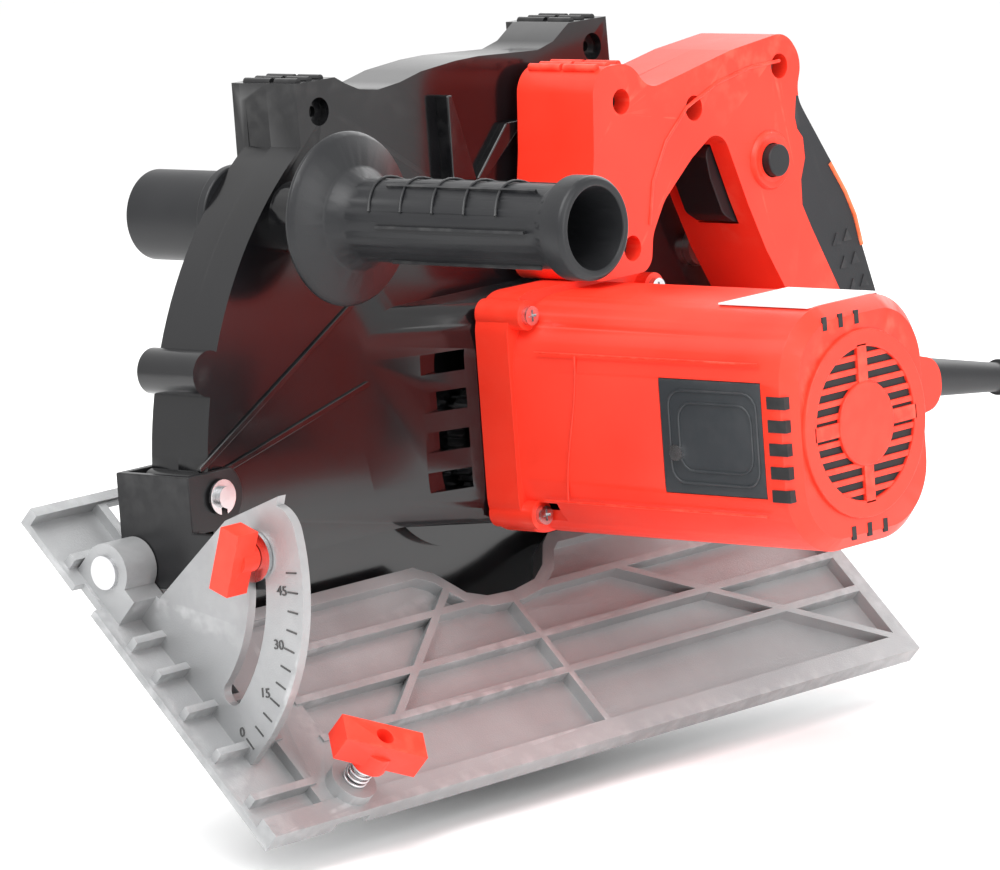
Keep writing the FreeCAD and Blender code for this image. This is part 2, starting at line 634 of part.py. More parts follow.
def bevel_washer():
    disc = rod_x(STUD_Y, STUD_Z, 9.5, QUADRANT_X - 1.9, QUADRANT_X - 0.3)
    return disc.cut(rod_x(STUD_Y, STUD_Z, STUD_RADIUS + RUNNING, 0, QUADRANT_X + 1))


def bevel_knob():
    head = wing(KNOB_LENGTH, KNOB_WIDTH, KNOB_DEPTH)
    head = head.cut(Part.makeCylinder(STUD_RADIUS + RUNNING, KNOB_DEPTH - 0.8, V(0, 0, -0.2), V(0, 0, 1)))
    head.rotate(V(0, 0, 0), V(0, 0, 1), -20)
    head.rotate(V(0, 0, 0), V(0, 1, 0), 90)
    head.translate(V(-KNOB_X1, STUD_Y, STUD_Z))
    return head


# ---------------- upper guard ----------------
def guard_outline(y0, y1, inset):
    """The guard's solid outline between two planes. inset is how far its wall is left off."""
    disc = rod(ARBOR_X, ARBOR_Z, GUARD_RADIUS - inset, y0, y1)
    top = plate_xz([(x, z) for x, z in GUARD_TOP] + [(GUARD_TOP[-1][0], 60), (GUARD_TOP[0][0], 60)], y0, y1)
    if inset:
        corners = [V(-x, y0, z) for x, z in GUARD_TOP] + [V(-GUARD_TOP[-1][0], y0, 60), V(-GUARD_TOP[0][0], y0, 60)]
        wire = Part.makePolygon(corners + corners[:1]).makeOffset2D(-inset)
        top = Part.Face(wire).extrude(V(0, y1 - y0, 0))
    crown = box(GUARD_TOP[0][0] + inset, GUARD_TOP[-1][0] - inset, y0 - 1, y1 + 1, 100, 300)
    body = disc.cut(crown).fuse(top)
    return body.common(box(0, 400, y0, y1, GUARD_BOTTOM - 0.1 * inset, 300))


def guard_holes(y0, y1, radius):
    return [rod(x, z, radius, y0, y1) for x, z in GUARD_SCREWS]


def pin_boss(y0, y1):
    return rod(PIN_X, PIN_Z, 9.0, y0, y1)


def guard_outer():
    y0 = GUARD_Y0
    shell = guard_outline(y0, GUARD_SEAM, 0)
    cavity = guard_outline(y0 + GUARD_WALL, GUARD_SEAM + 1, GUARD_WALL)
    cavity = cavity.fuse(box(60, 305, y0 + GUARD_WALL, GUARD_SEAM + 1, GUARD_BOTTOM - 5, GUARD_BOTTOM + 10))
    bosses = [rod(x, z, GUARD_BOSS, y0, GUARD_SEAM) for x, z in GUARD_SCREWS]
    for x, top in (PAD_A, PAD_B):
        half = PAD_WIDTH / 2
        bosses.append(plate_xz([(x - half, top), (x - half, top - 38), (x - half + 5, top - 44), (x + half, top - 30),
                                (x + half, top)], y0 - PAD_OVERHANG, y0 + GUARD_WALL))
    bosses.append(pin_boss(y0, GUARD_SEAM))
    bosses.append(rod(CLAMP_X, CLAMP_Z, 5.8, y0, GUARD_SEAM))
    away = guard_holes(y0 - PAD_OVERHANG - 1, GUARD_SEAM + 1, SCREW_SHANK + 0.3)
    away += guard_holes(y0 - PAD_OVERHANG - 1, y0 + GUARD_SCREW_SINK, GUARD_SCREW_HEAD + SEAT)
    away += [
        rod(PIN_X, PIN_Z, PIN_RADIUS + RUNNING, y0 - 1, GUARD_SEAM + 1),
        rod(CLAMP_X, CLAMP_Z, 4.0, y0 - 1, GUARD_SEAM + 1),
        rod(ARBOR_X, ARBOR_Z, KEYHOLE_RADIUS, y0 - 1, y0 + GUARD_WALL + 1),
        box(ARBOR_X - KEYHOLE_RADIUS, ARBOR_X + KEYHOLE_RADIUS, y0 - 1, y0 + GUARD_WALL + 1, -20, ARBOR_Z),
        rod(DUST_X, DUST_Z, DUST_RADIUS - DUST_WALL, y0 - 1, GUARD_SEAM - 3),
        rod(DUST_X, DUST_Z, DUST_RADIUS + DUST_COLLAR + SEAT, y0 - PAD_OVERHANG - 1, y0),
    ]
    return shell.cut(cavity).fuse(bosses).cut(away).removeSplitter()


def case_loft(y0, y1, inset):
    """The gear case bulge, from the guard's side wall to the motor flange."""
    width0 = CASE_REAR_X - CASE_FRONT_X
    height0 = CASE_TOP - CASE_LOW
    mid_x = (CASE_FRONT_X + CASE_REAR_X) / 2
    mid_z = (CASE_TOP + CASE_LOW) / 2
    wide = rounded_wire(width0 - 2 * inset, height0 - 2 * inset, 20, y0, mid_x, mid_z)
    face_w, face_h = CASE_END
    narrow = rounded_wire(face_w - 2 * inset, face_h - 2 * inset, 20, y1, MOTOR_X, MOTOR_Z + 1)
    return Part.makeLoft([wide, narrow], True, True)


def gear_housing():
    y1 = GUARD_Y1
    shell = guard_outline(GUARD_SEAM, y1, 0)
    cavity = guard_outline(GUARD_SEAM - 1, y1 - GUARD_WALL, GUARD_WALL)
    cavity = cavity.fuse(box(60, 305, GUARD_SEAM - 1, y1 - GUARD_WALL, GUARD_BOTTOM - 5, GUARD_BOTTOM + 10))
    shell = shell.cut(cavity)
    case = case_loft(y1 - 0.5, MOTOR_Y0, 0)
    hollow = case_loft(y1 - 0.6, MOTOR_Y0 - GUARD_WALL, 3.0)
    shell = shell.fuse(case).cut(hollow)
    adds = [rod(x, z, GUARD_BOSS, GUARD_SEAM, y1) for x, z in GUARD_SCREWS]
    adds.append(pin_boss(GUARD_SEAM, y1))
    adds.append(rod(CLAMP_X, CLAMP_Z, 5.8, GUARD_SEAM, y1))
    adds.append(rod(ARBOR_X, ARBOR_Z, BOSS_RADIUS, BOSS_Y0, y1 + 0.5))
    adds.append(rod(SIDE_X, SIDE_Z, SIDE_BOSS_RADIUS, y1 - GUARD_WALL, SIDE_BOSS_END))
    adds.append(rod(ARBOR_X, ARBOR_Z, 9.5, MOTOR_Y0 - 4.5, MOTOR_Y0))
    adds.append(rod(MOTOR_X, MOTOR_Z, SHAFT_BEARING_RADIUS + 2.5, MOTOR_Y0 - GUARD_WALL, MOTOR_Y0 + 7))
    away = [rod(x, z, 5.2, y1 - 4, y1 + 1) for x, z in GUARD_SCREWS[1:]]
    away += guard_holes(GUARD_SEAM - 1, GUARD_SEAM + 11, SCREW_SHANK)
    away += [
        rod(PIN_X, PIN_Z, PIN_RADIUS + RUNNING, GUARD_SEAM - 1, y1 + 1),
        rod(CLAMP_X, CLAMP_Z, 4.0, GUARD_SEAM - 1, y1 + 1),
        rod(ARBOR_X, ARBOR_Z, BEARING_RADIUS, BOSS_Y0 - 1, BOSS_Y0 + 9),
        rod(ARBOR_X, ARBOR_Z, SPINDLE_RADIUS + 0.8, BOSS_Y0, y1 + 2),
        rod(ARBOR_X, ARBOR_Z, 5.0 + RUNNING, MOTOR_Y0 - 5, MOTOR_Y0 - 1),
        rod(MOTOR_X, MOTOR_Z, SHAFT_RADIUS + 1.0, MOTOR_Y0 - 5, MOTOR_Y0 + 10),
        rod(MOTOR_X, MOTOR_Z, SHAFT_BEARING_RADIUS, MOTOR_Y0, MOTOR_Y0 + 10),
        rod(SIDE_X, SIDE_Z, SIDE_STUD, SIDE_BOSS_END - 15, SIDE_BOSS_END + 1),
    ]
    for z in CASE_SLOTS:
        away.append(box(CASE_FRONT_X + 20, CASE_FRONT_X + 52, 33.0, MOTOR_Y0 - 2.0, z - 3.8, z + 3.8))
    return shell.fuse(adds).cut(away).removeSplitter()


SIDE_STUD = 4.0


def guard_screws():
    screws = []
    for x, z in GUARD_SCREWS:
        screws.append(screw_y(x, z, GUARD_Y0 + GUARD_SCREW_SINK, GUARD_SEAM + 9, GUARD_SCREW_HEAD, SCREW_SHANK, 2.0))
    return group(screws)


def dust_port():
    inner = DUST_RADIUS - DUST_WALL
    y0 = GUARD_Y0 - DUST_LENGTH
    tube = ring(DUST_X, DUST_Z, DUST_RADIUS, inner, y0, GUARD_Y0)
    collar = ring(DUST_X, DUST_Z, DUST_RADIUS + DUST_COLLAR, inner, GUARD_Y0 - 4, GUARD_Y0)
    return tube.fuse(collar).removeSplitter()


# ---------------- lower guard ----------------
def lower_guard():
    low = 184.0
    high = 356.0
    y0 = LOWER_Y0
    y1 = LOWER_Y1
    solid = wedge_sector(ARBOR_X, ARBOR_Z, LOWER_RADIUS, low, high, y0, y1)
    space = rod(ARBOR_X, ARBOR_Z, LOWER_RADIUS - 2.5, y0 + LOWER_WALL, y1 - LOWER_WALL)
    cup = rod(ARBOR_X, ARBOR_Z, LOWER_HUB_RADIUS, y1 - LOWER_WALL, LOWER_HUB_Y1)
    cup = cup.cut(rod(ARBOR_X, ARBOR_Z, LOWER_HUB_RADIUS - LOWER_WALL, y1 - LOWER_WALL - 1, LOWER_HUB_Y1 - LOWER_WALL))
    opening = rod(ARBOR_X, ARBOR_Z, LOWER_HUB_RADIUS - LOWER_WALL, y0 - 1, LOWER_HUB_Y1 - LOWER_WALL)
    bore = rod(ARBOR_X, ARBOR_Z, BOSS_RADIUS + RUNNING, y0 - 1, LOWER_HUB_Y1 + 1)
    return solid.cut([space, opening]).fuse(cup).cut(bore).removeSplitter()


LEVER_ANGLE = 190.0


def guard_lever():
    turn = math.radians(LEVER_ANGLE)
    x = ARBOR_X - 51.0 * math.cos(turn)
    z = ARBOR_Z + 51.0 * math.sin(turn)
    knob = rod(x, z, 6.5, LOWER_Y0 - 9.0, LOWER_Y0)
    return knob.fuse(rod(x, z, 8.5, LOWER_Y0 - 9.0, LOWER_Y0 - 6.5)).removeSplitter()


def guard_spring():
    turns = []
    for i in range(2):
        y = LOWER_HUB_Y1 + 0.8 + i * 1.1
        turns.append(Part.makeTorus(BOSS_RADIUS + 1.2, 0.5, V(-ARBOR_X, y, ARBOR_Z), V(0, 1, 0)))
    return group(turns)


# ---------------- blade and spindle ----------------
def blade():
    radius = BLADE_DIAMETER / 2
    disc = rod(ARBOR_X, ARBOR_Z, radius, BLADE_Y0, BLADE_Y1)
    away = [rod(ARBOR_X, ARBOR_Z, BLADE_BORE / 2, BLADE_Y0 - 1, BLADE_Y1 + 1)]
    for i in range(BLADE_TEETH):
        turn = 360.0 * i / BLADE_TEETH
        notch = plate_xz([(-radius - 2, 0), (-radius + 9, 0), (-radius + 7, 7), (-radius - 2, 22)],
                         BLADE_Y0 - 1, BLADE_Y1 + 1)
        notch.rotate(V(0, 0, 0), V(0, 1, 0), turn)
        notch.translate(V(-ARBOR_X, 0, ARBOR_Z))
        away.append(notch)
    return disc.cut(away)


def blade_ring():
    """Reducing ring that centres the blade on the spindle."""
    return ring(ARBOR_X, ARBOR_Z, BLADE_BORE / 2, SPINDLE_RADIUS, BLADE_Y0, BLADE_Y1)


def inner_flange():
    return ring(ARBOR_X, ARBOR_Z, FLANGE_RADIUS, SPINDLE_RADIUS, BLADE_Y1, BOSS_Y0 - 0.5)


def outer_flange():
    plate = ring(ARBOR_X, ARBOR_Z, FLANGE_RADIUS, SPINDLE_RADIUS - 2, BLADE_Y0 - FLANGE_THICK, BLADE_Y0)
    return plate.cut(rod(ARBOR_X, ARBOR_Z, SPINDLE_RADIUS, BLADE_Y0 - 1.2, BLADE_Y0 + 1))


def blade_bolt():
    head_y1 = BLADE_Y0 - FLANGE_THICK
    washer = rod(ARBOR_X, ARBOR_Z, 11.0, head_y1 - 1.6, head_y1)
    corners = []
    for i in range(6):
        turn = math.radians(60 * i)
        corners.append((ARBOR_X + 7.5 * math.cos(turn), ARBOR_Z + 7.5 * math.sin(turn)))
    head = plate_xz(corners, head_y1 - 7.0, head_y1 - 1.6)
    shank = rod(ARBOR_X, ARBOR_Z, 4.0, head_y1, head_y1 + 16)
    return washer.fuse([head, shank]).removeSplitter()


def spindle():
    body = rod(ARBOR_X, ARBOR_Z, SPINDLE_RADIUS, BLADE_Y0 - 1.2, MOTOR_Y0 - 5.0)
    tail = rod(ARBOR_X, ARBOR_Z, 5.0, MOTOR_Y0 - 5.0, MOTOR_Y0 - 1.3)
    thread = rod(ARBOR_X, ARBOR_Z, 4.0, BLADE_Y0 - 2, BLADE_Y0 - FLANGE_THICK + 16)
    return body.fuse(tail).cut(thread).removeSplitter()


def toothed_disc(teeth, x, z, y0, width, phase):
    """A spur gear with straight-sided teeth and free running backlash."""
    pitch = GEAR_MODULE * teeth / 2
    root = pitch - 1.15 * GEAR_MODULE
    tip = pitch + 0.8 * GEAR_MODULE
    disc = rod(0, 0, root, y0, y0 + width)
    cogs = []
    for i in range(teeth):
        tooth = plate_xz([(-root + 0.6, -0.95), (-tip, -0.42), (-tip, 0.42), (-root + 0.6, 0.95)], y0, y0 + width)
        tooth.rotate(V(0, 0, 0), V(0, 1, 0), 360.0 * i / teeth + phase)
        cogs.append(tooth)
    gear = disc.fuse(cogs).removeSplitter()
    gear.translate(V(-x, 0, z))
    return gear


# the line of centres, as a turn about +Y from forward
CENTRE_LINE = 180.0 + math.degrees(math.atan2(MOTOR_RISE, MOTOR_X - ARBOR_X))


def spindle_gear():
    gear = toothed_disc(GEAR_TEETH, ARBOR_X, ARBOR_Z, GEAR_Y0, GEAR_WIDTH, CENTRE_LINE)
    return gear.cut(rod(ARBOR_X, ARBOR_Z, SPINDLE_RADIUS, GEAR_Y0 - 1, GEAR_Y0 + GEAR_WIDTH + 1))


def spindle_bearing():
    return ring(ARBOR_X, ARBOR_Z, BEARING_RADIUS, SPINDLE_RADIUS + RUNNING, BOSS_Y0 + 0.6, BOSS_Y0 + 9)


# ---------------- motor ----------------
def armature_shaft():
    shaft = rod(MOTOR_X, MOTOR_Z, SHAFT_RADIUS, GEAR_Y0, MOTOR_Y1 - 9)
    phase = CENTRE_LINE + 180.0 + 180.0 / PINION_TEETH
    pinion = toothed_disc(PINION_TEETH, MOTOR_X, MOTOR_Z, GEAR_Y0, GEAR_WIDTH, phase)
    return shaft.fuse(pinion).removeSplitter()


def armature_core():
    core = ring(MOTOR_X, MOTOR_Z, CORE_RADIUS, SHAFT_RADIUS, CORE_Y[0], CORE_Y[1])
    windings = []
    for y0, y1 in ((CORE_Y[0] - 8, CORE_Y[0]), (CORE_Y[1], CORE_Y[1] + 9)):
        windings.append(ring(MOTOR_X, MOTOR_Z, CORE_RADIUS - 4, SHAFT_RADIUS, y0, y1))
    return core.fuse(windings).removeSplitter()


def commutator():
    return ring(MOTOR_X, MOTOR_Z, COMMUTATOR_RADIUS, SHAFT_RADIUS, COMMUTATOR_Y[0], COMMUTATOR_Y[1])


def fan():
    y0, y1 = FAN_Y
    hub = ring(MOTOR_X, MOTOR_Z, 9.0, SHAFT_RADIUS, y0, y1)
    disc = ring(MOTOR_X, MOTOR_Z, FAN_RADIUS, 8.0, y0, y0 + 1.6)
    vanes = []
    for i in range(11):
        vane = Part.makeBox(FAN_RADIUS - 12.0, y1 - y0 - 0.8, 1.4, V(11.0, y0 + 0.8, -0.7))
        vane.rotate(V(0, 0, 0), V(0, 1, 0), 360.0 * i / 11)
        vane.translate(V(-MOTOR_X, 0, MOTOR_Z))
        vanes.append(vane)
    return hub.fuse([disc] + vanes).removeSplitter()


def motor_bearings():
    front = ring(MOTOR_X, MOTOR_Z, SHAFT_BEARING_RADIUS, SHAFT_RADIUS + RUNNING, MOTOR_Y0, MOTOR_Y0 + 7)
    rear = ring(MOTOR_X, MOTOR_Z, SHAFT_BEARING_RADIUS, SHAFT_RADIUS + RUNNING, MOTOR_Y1 - 16, MOTOR_Y1 - 9)
    return group([front, rear])


def stator():
    y0 = CORE_Y[0] - 2
    y1 = CORE_Y[1] + 2
    lamination = ring(MOTOR_X, MOTOR_Z, STATOR_OUTER, STATOR_INNER, y0, y1)
    return lamination


def brush_covers_boxes(grow, deep):
    """Recess boxes for the two brush covers, front and rear side of the motor."""
    y0, y1 = BRUSH_COVER_Y
    z0, z1 = BRUSH_COVER_Z
    near = MOTOR_X - MOTOR_WIDTH / 2
    far = MOTOR_X + MOTOR_WIDTH / 2
    front = box(near - 1, near + deep, y0 - grow, y1 + grow, z0 - grow, z1 + grow)
    rear = box(far - deep, far + 1, y0 - grow, y1 + grow, z0 - grow, z1 + grow)
    return front, rear


def motor_body(inset, y0, y1):
    return rounded_bar(MOTOR_WIDTH - 2 * inset, MOTOR_HEIGHT - 2 * inset, MOTOR_CORNER - inset,
                       y0, y1, MOTOR_X, MOTOR_Z)


def motor_housing():
    extra = MOTOR_FLANGE_EXTRA
    flange = rounded_bar(MOTOR_WIDTH + 2 * extra, MOTOR_FLANGE_HEIGHT, MOTOR_FLANGE_CORNER,
                         MOTOR_Y0, MOTOR_FLANGE_Y1, MOTOR_X, MOTOR_Z + MOTOR_FLANGE_RISE)
    body = motor_body(0, MOTOR_FLANGE_Y1, MOTOR_Y1)
    rim = [edge for edge in body.Edges if edge.BoundBox.YMin > MOTOR_Y1 - 0.1]
    body = body.makeChamfer(5.0, rim)
    space = motor_body(MOTOR_WALL, MOTOR_Y0 - 1, MOTOR_Y1 - 4)
    shell = flange.fuse(body).cut(space)
    boss = ring(MOTOR_X, MOTOR_Z, SHAFT_BEARING_RADIUS + 3, SHAFT_BEARING_RADIUS, MOTOR_Y1 - 16, MOTOR_Y1 - 3)
    posts = [rod(x, z, 5.6, MOTOR_Y0, MOTOR_SCREW_SEAT) for x, z in motor_screw_places()]
    rails = []
    for side in (-1, 1):
        x0, x1 = sorted([MOTOR_X + side * (STATOR_OUTER + 0.05), MOTOR_X + side * (MOTOR_WIDTH / 2 - MOTOR_WALL + 0.4)])
        rails.append(box(x0, x1, CORE_Y[0], CORE_Y[1], MOTOR_Z - 6, MOTOR_Z + 6))
    front, rear = brush_covers_boxes(SEAT, BRUSH_COVER_THICK)
    away = [front, rear]
    for i in range(12):
        turn = math.radians(30 * i + 15)
        cx = MOTOR_X + 23 * math.cos(turn)
        cz = MOTOR_Z + 27 * math.sin(turn)
        if abs(math.sin(turn)) < 0.8:
            away.append(box(cx - 5.5, cx + 5.5, MOTOR_Y1 - 5, MOTOR_Y1 + 1, cz - 1.8, cz + 1.8))
    away += [rod(x, z, SCREW_SHANK, MOTOR_Y0 - 1, MOTOR_SCREW_SEAT + 1) for x, z in motor_screw_places()]
    away += [rod(x, z, 5.0, MOTOR_SCREW_SEAT, MOTOR_SCREW_SEAT + 9) for x, z in motor_screw_places()]
    return shell.fuse([boss] + posts + rails).cut(away).removeSplitter()


def motor_screw_places():
    return [(MOTOR_X + side * MOTOR_SCREW_DX, z) for side in (-1, 1) for z in MOTOR_SCREW_Z]


def motor_screws():
    return group([screw_y(x, z, MOTOR_SCREW_SEAT, MOTOR_Y0 + 0.5, 3.6, SCREW_SHANK, 2.4)
                  for x, z in motor_screw_places()])


def brush_cover(front):
    y0, y1 = BRUSH_COVER_Y
    z0, z1 = BRUSH_COVER_Z
    body = motor_body(0, y0, y1)
    slab = brush_covers_boxes(0, BRUSH_COVER_THICK - 0.1)[0 if front else 1]
    plate = body.common(slab)
    side = -1 if front else 1
    x = MOTOR_X + side * MOTOR_WIDTH / 2
    hole = Part.makeCylinder(1.6, 12, V(-x - 6, y0 + 7, MOTOR_Z - 7), V(1, 0, 0))
    return plate.cut(hole)


def brush_cover_screws():
    screws = []
    for side in (-1, 1):
        x = MOTOR_X + side * MOTOR_WIDTH / 2
        start = V(-x + side * 2, BRUSH_COVER_Y[0] + 7, MOTOR_Z - 7)
        axis = V(-side, 0, 0)
        shank = Part.makeCylinder(1.6, 2.0, start, axis)
        head = Part.makeCylinder(3.0, 1.4, start + axis * 2.0, axis)
        screws.append(shank.fuse(head).removeSplitter())
    return group(screws)


def brushes():
    blocks = []
    y = sum(COMMUTATOR_Y) / 2
    for side in (-1, 1):
        x0, x1 = sorted([MOTOR_X + side * (COMMUTATOR_RADIUS + 0.5), MOTOR_X + side * (COMMUTATOR_RADIUS + 12)])
        blocks.append(box(x0, x1, y - 5, y + 5, MOTOR_Z - 3, MOTOR_Z + 3))
    return group(blocks)


def brush_holders():
    boxes = []
    y = sum(COMMUTATOR_Y) / 2
    reach = MOTOR_WIDTH / 2 - MOTOR_WALL
    for side in (-1, 1):
        x0, x1 = sorted([MOTOR_X + side * (COMMUTATOR_RADIUS + 3), MOTOR_X + side * reach])
        sleeve = box(x0, x1, y - 7, y + 7, MOTOR_Z - 5, MOTOR_Z + 5)
        boxes.append(sleeve.cut(box(x0 - 1, x1 + 1, y - 5 - SEAT / 5, y + 5 + SEAT / 5,
                                    MOTOR_Z - 3 - SEAT / 5, MOTOR_Z + 3 + SEAT / 5)))
    return group(boxes)


# ---------------- main handle ----------------
HANDLE_SEAT_X = MOTOR_X + MOTOR_WIDTH / 2 + MOTOR_FLANGE_EXTRA + 0.1
HANDLE_SEAT_Z = MOTOR_Z + MOTOR_FLANGE_RISE + MOTOR_FLANGE_HEIGHT / 2 + 0.1
HANDLE_OUTLINE = [
    (200.0, HANDLE_SEAT_Z), (203.0, 96.0), (208.0, 127.0), (210.5, 158.0), (232.0, 158.0), (241.0, 146.5),
    (258.0, 149.5), (290.0, 155.5), (323.0, 158.8), (331.5, 147.0), (326.5, 134.0), (336.0, 119.0),
    (348.0, 101.5), (358.5, 77.0), (367.0, 52.0), (380.0, 25.0), (HANDLE_FOOT_X, 19.0), (HANDLE_FOOT_X, 1.0),
    (372.0, -4.0), (HANDLE_SEAT_X, 4.0), (HANDLE_SEAT_X, 42.0), (318.0, 44.0), (314.0, 59.0), (303.0, 77.0),
    (294.0, 96.0), (281.0, 128.0), (263.0, 117.5), (246.0, 104.0), (238.0, 92.0), (236.0, HANDLE_SEAT_Z),
]
TRIGGER_OUTLINE = [(281.5, 120.5), (284.0, 107.0), (290.0, 92.5), (298.0, 87.5), (306.0, 91.0), (308.0, 100.0),
                   (298.0, 119.0)]
TRIGGER_PIVOT = (296.0, 119.0)


def handle_core():
    wire = smooth_profile(HANDLE_OUTLINE, 14.0)
    return wire


def grip_region(y0, y1):
    """The rear of the grip that the soft cover wraps."""
    corners = [(326.5, 133.5), (325, 125.3), (326, 120.7), (329, 117), (329.5, 109), (326.3, 101),
               (326.1, 91.2), (330.7, 81.8), (337.9, 68.7), (346.6, 52.9), (356, 36), (366, 22),
               (420, 30), (420, 133.5)]
    return plate_xz(corners, y0, y1)


def handle_solid(y0, y1):
    return prism(handle_core(), y0, y1)


def handle_cavity(y0, y1):
    inner = handle_core().makeOffset2D(-HANDLE_WALL)
    return prism(inner, y0, y1)


def soft_grip():
    whole = handle_solid(HANDLE_Y0, HANDLE_Y1).common(grip_region(HANDLE_Y0, HANDLE_Y1))
    small = handle_core().makeOffset2D(-GRIP_SKIN)
    core = prism(small, HANDLE_Y0 + GRIP_SKIN, HANDLE_Y1 - GRIP_SKIN)
    return whole.cut(core)


def trigger_solid(grow):
    wire = smooth_profile(TRIGGER_OUTLINE, 6.0)
    if grow:
        wire = wire.makeOffset2D(grow)
    half = TRIGGER_WIDTH / 2 + grow
    return prism(wire, HANDLE_MID - half, HANDLE_MID + half)


def trigger_sweep():
    """Room for the trigger over its whole travel."""
    places = []
    for step in range(4):
        piece = trigger_solid(0.8)
        turn = TRIGGER_TRAVEL * step / 3
        piece.rotate(V(-TRIGGER_PIVOT[0], 0, TRIGGER_PIVOT[1]), V(0, 1, 0), turn)
        places.append(piece)
    return places[0].fuse(places[1:])


def trigger():
    body = trigger_solid(0)
    hole = rod(TRIGGER_PIVOT[0], TRIGGER_PIVOT[1], 1.5 + RUNNING, HANDLE_Y0, HANDLE_Y1)
    return body.fuse(rod(TRIGGER_PIVOT[0], TRIGGER_PIVOT[1], 4.0, HANDLE_MID - TRIGGER_WIDTH / 2,
                         HANDLE_MID + TRIGGER_WIDTH / 2)).cut(hole).removeSplitter()


def trigger_pin():
    return rod(TRIGGER_PIVOT[0], TRIGGER_PIVOT[1], 1.5, HANDLE_Y0 + HANDLE_WALL - 1.5, HANDLE_Y1 - HANDLE_WALL + 1.5)


def lock_button_room(y0, y1):
    return rod(LOCK_BUTTON[0], LOCK_BUTTON[1], LOCK_BUTTON_RADIUS + GAP, y0, y1)


def sleeve_axis():
    turn = math.radians(SLEEVE_TILT)
    return V(-math.cos(turn), 0, -math.sin(turn))


def sleeve_start():
    return V(-HANDLE_FOOT_X - 1.5, HANDLE_MID, 10.6)


def handle_half(motor_side):
    if motor_side:
        y0, y1 = HANDLE_MID, HANDLE_Y1
        cavity = handle_cavity(y0 - 1, y1 - HANDLE_WALL)
    else:
        y0, y1 = HANDLE_Y0, HANDLE_MID
        cavity = handle_cavity(y0 + HANDLE_WALL, y1 + 1)
    shell = handle_solid(y0, y1).cut(cavity)
    posts = [rod(x, z, SCREW_WELL + POST_WALL, y0, y1) for x, z in HANDLE_SCREWS]
    posts.append(rod(LOCK_BUTTON[0], LOCK_BUTTON[1], LOCK_BUTTON_RADIUS + 3.5,
                     y0 if not motor_side else y1 - HANDLE_WALL, y0 + HANDLE_WALL if not motor_side else y1 + 1.5))
    clamp = Part.makeCylinder(9.5, 14, sleeve_start() - sleeve_axis() * 14, sleeve_axis())
    posts.append(clamp.common(box(330, 430, y0, y1, -10, 40)))
    shell = shell.fuse(posts)
    shell = shell.common(box(0, 500, y0 - 3, y1 + 3, -50, 250))
    away = [soft_grip(), trigger_sweep(), trigger_pin()]
    away += [rod(x, z, SCREW_SHANK, y0 - 1, y1 + 1) for x, z in HANDLE_SCREWS]
    if motor_side:
        away += [rod(x, z, SCREW_WELL, HANDLE_Y1 - 9.0, y1 + 2) for x, z in HANDLE_SCREWS]
        away.append(lock_button_room(HANDLE_MID, y1 + 3))
    away.append(Part.makeCylinder(SLEEVE_TAIL, 40, sleeve_start() - sleeve_axis() * 30, sleeve_axis()))
    return shell.cut(away).removeSplitter()


SLEEVE_TAIL = 6.5


def handle_screws():
    screws = []
    for x, z in HANDLE_SCREWS:
        screws.append(screw_y(x, z, HANDLE_Y1 - 9.0, HANDLE_Y0 + 6, 3.8, SCREW_SHANK, 2.4))
    return group(screws)


def lock_button():
    x, z = LOCK_BUTTON
    inner_end = HANDLE_MID + 14.0
    body = rod(x, z, LOCK_BUTTON_RADIUS, inner_end, HANDLE_Y1 + LOCK_BUTTON_PROUD)
    return body.cut(rod(x, z, 4.1, inner_end - 1, inner_end + LOCK_BUTTON_TRAVEL + 0.2))


def lock_spring():
    turns = coil_spring(3.2, 0.5, 6.0, 4)
    for turn in turns:
        turn.rotate(V(0, 0, 0), V(1, 0, 0), -90)
        turn.translate(V(-LOCK_BUTTON[0], HANDLE_MID + 7.7, LOCK_BUTTON[1]))
    return group(turns)


def switch_unit():
    return box(317.0, 327.0, HANDLE_MID - 9, HANDLE_MID + 5.8, 84.0, 108.0)


def strain_relief():
    start = sleeve_start()
    axis = sleeve_axis()
    tail = Part.makeCylinder(SLEEVE_TAIL, 12, start - axis * 12, axis)
    cone = Part.makeCone(8.4, 5.8, SLEEVE_LENGTH - 3, start, axis)
    bead = Part.makeCylinder(7.3, 3.0, start + axis * (SLEEVE_LENGTH - 3), axis)
    bore = Part.makeCylinder(CORD_RADIUS, SLEEVE_LENGTH + 20, start - axis * 14, axis)
    return tail.fuse([cone, bead]).cut(bore).removeSplitter()


# ---------------- side handle ----------------
def side_handle():
    y = SIDE_BOSS_END
    profile = [
        (SIDE_STUD, y), (11.0, y), (12.0, y + 5), (SIDE_FLANGE_RADIUS - 1, y + 6), (SIDE_FLANGE_RADIUS, y + 8),
        (SIDE_FLANGE_RADIUS - 2, y + 10.5), (19.0, y + 14), (SIDE_GRIP_RADIUS - 0.6, y + 20),
        (SIDE_GRIP_RADIUS, y + 55), (SIDE_GRIP_RADIUS - 0.6, SIDE_END_Y - 16), (SIDE_END_RADIUS, SIDE_END_Y - 10),
        (SIDE_END_RADIUS, SIDE_END_Y - 1.5), (SIDE_END_RADIUS - 1.5, SIDE_END_Y), (SIDE_HOLE_RADIUS, SIDE_END_Y),
        (SIDE_HOLE_RADIUS - 2.6, SIDE_END_Y - 12), (SIDE_HOLE_RADIUS - 3.2, y + 30), (SIDE_STUD, y + 30),
    ]
    return revolve_y(profile, SIDE_X, SIDE_Z)


def side_handle_stud():
    y = SIDE_BOSS_END
    return rod(SIDE_X, SIDE_Z, SIDE_STUD, y - 14, y + 30)


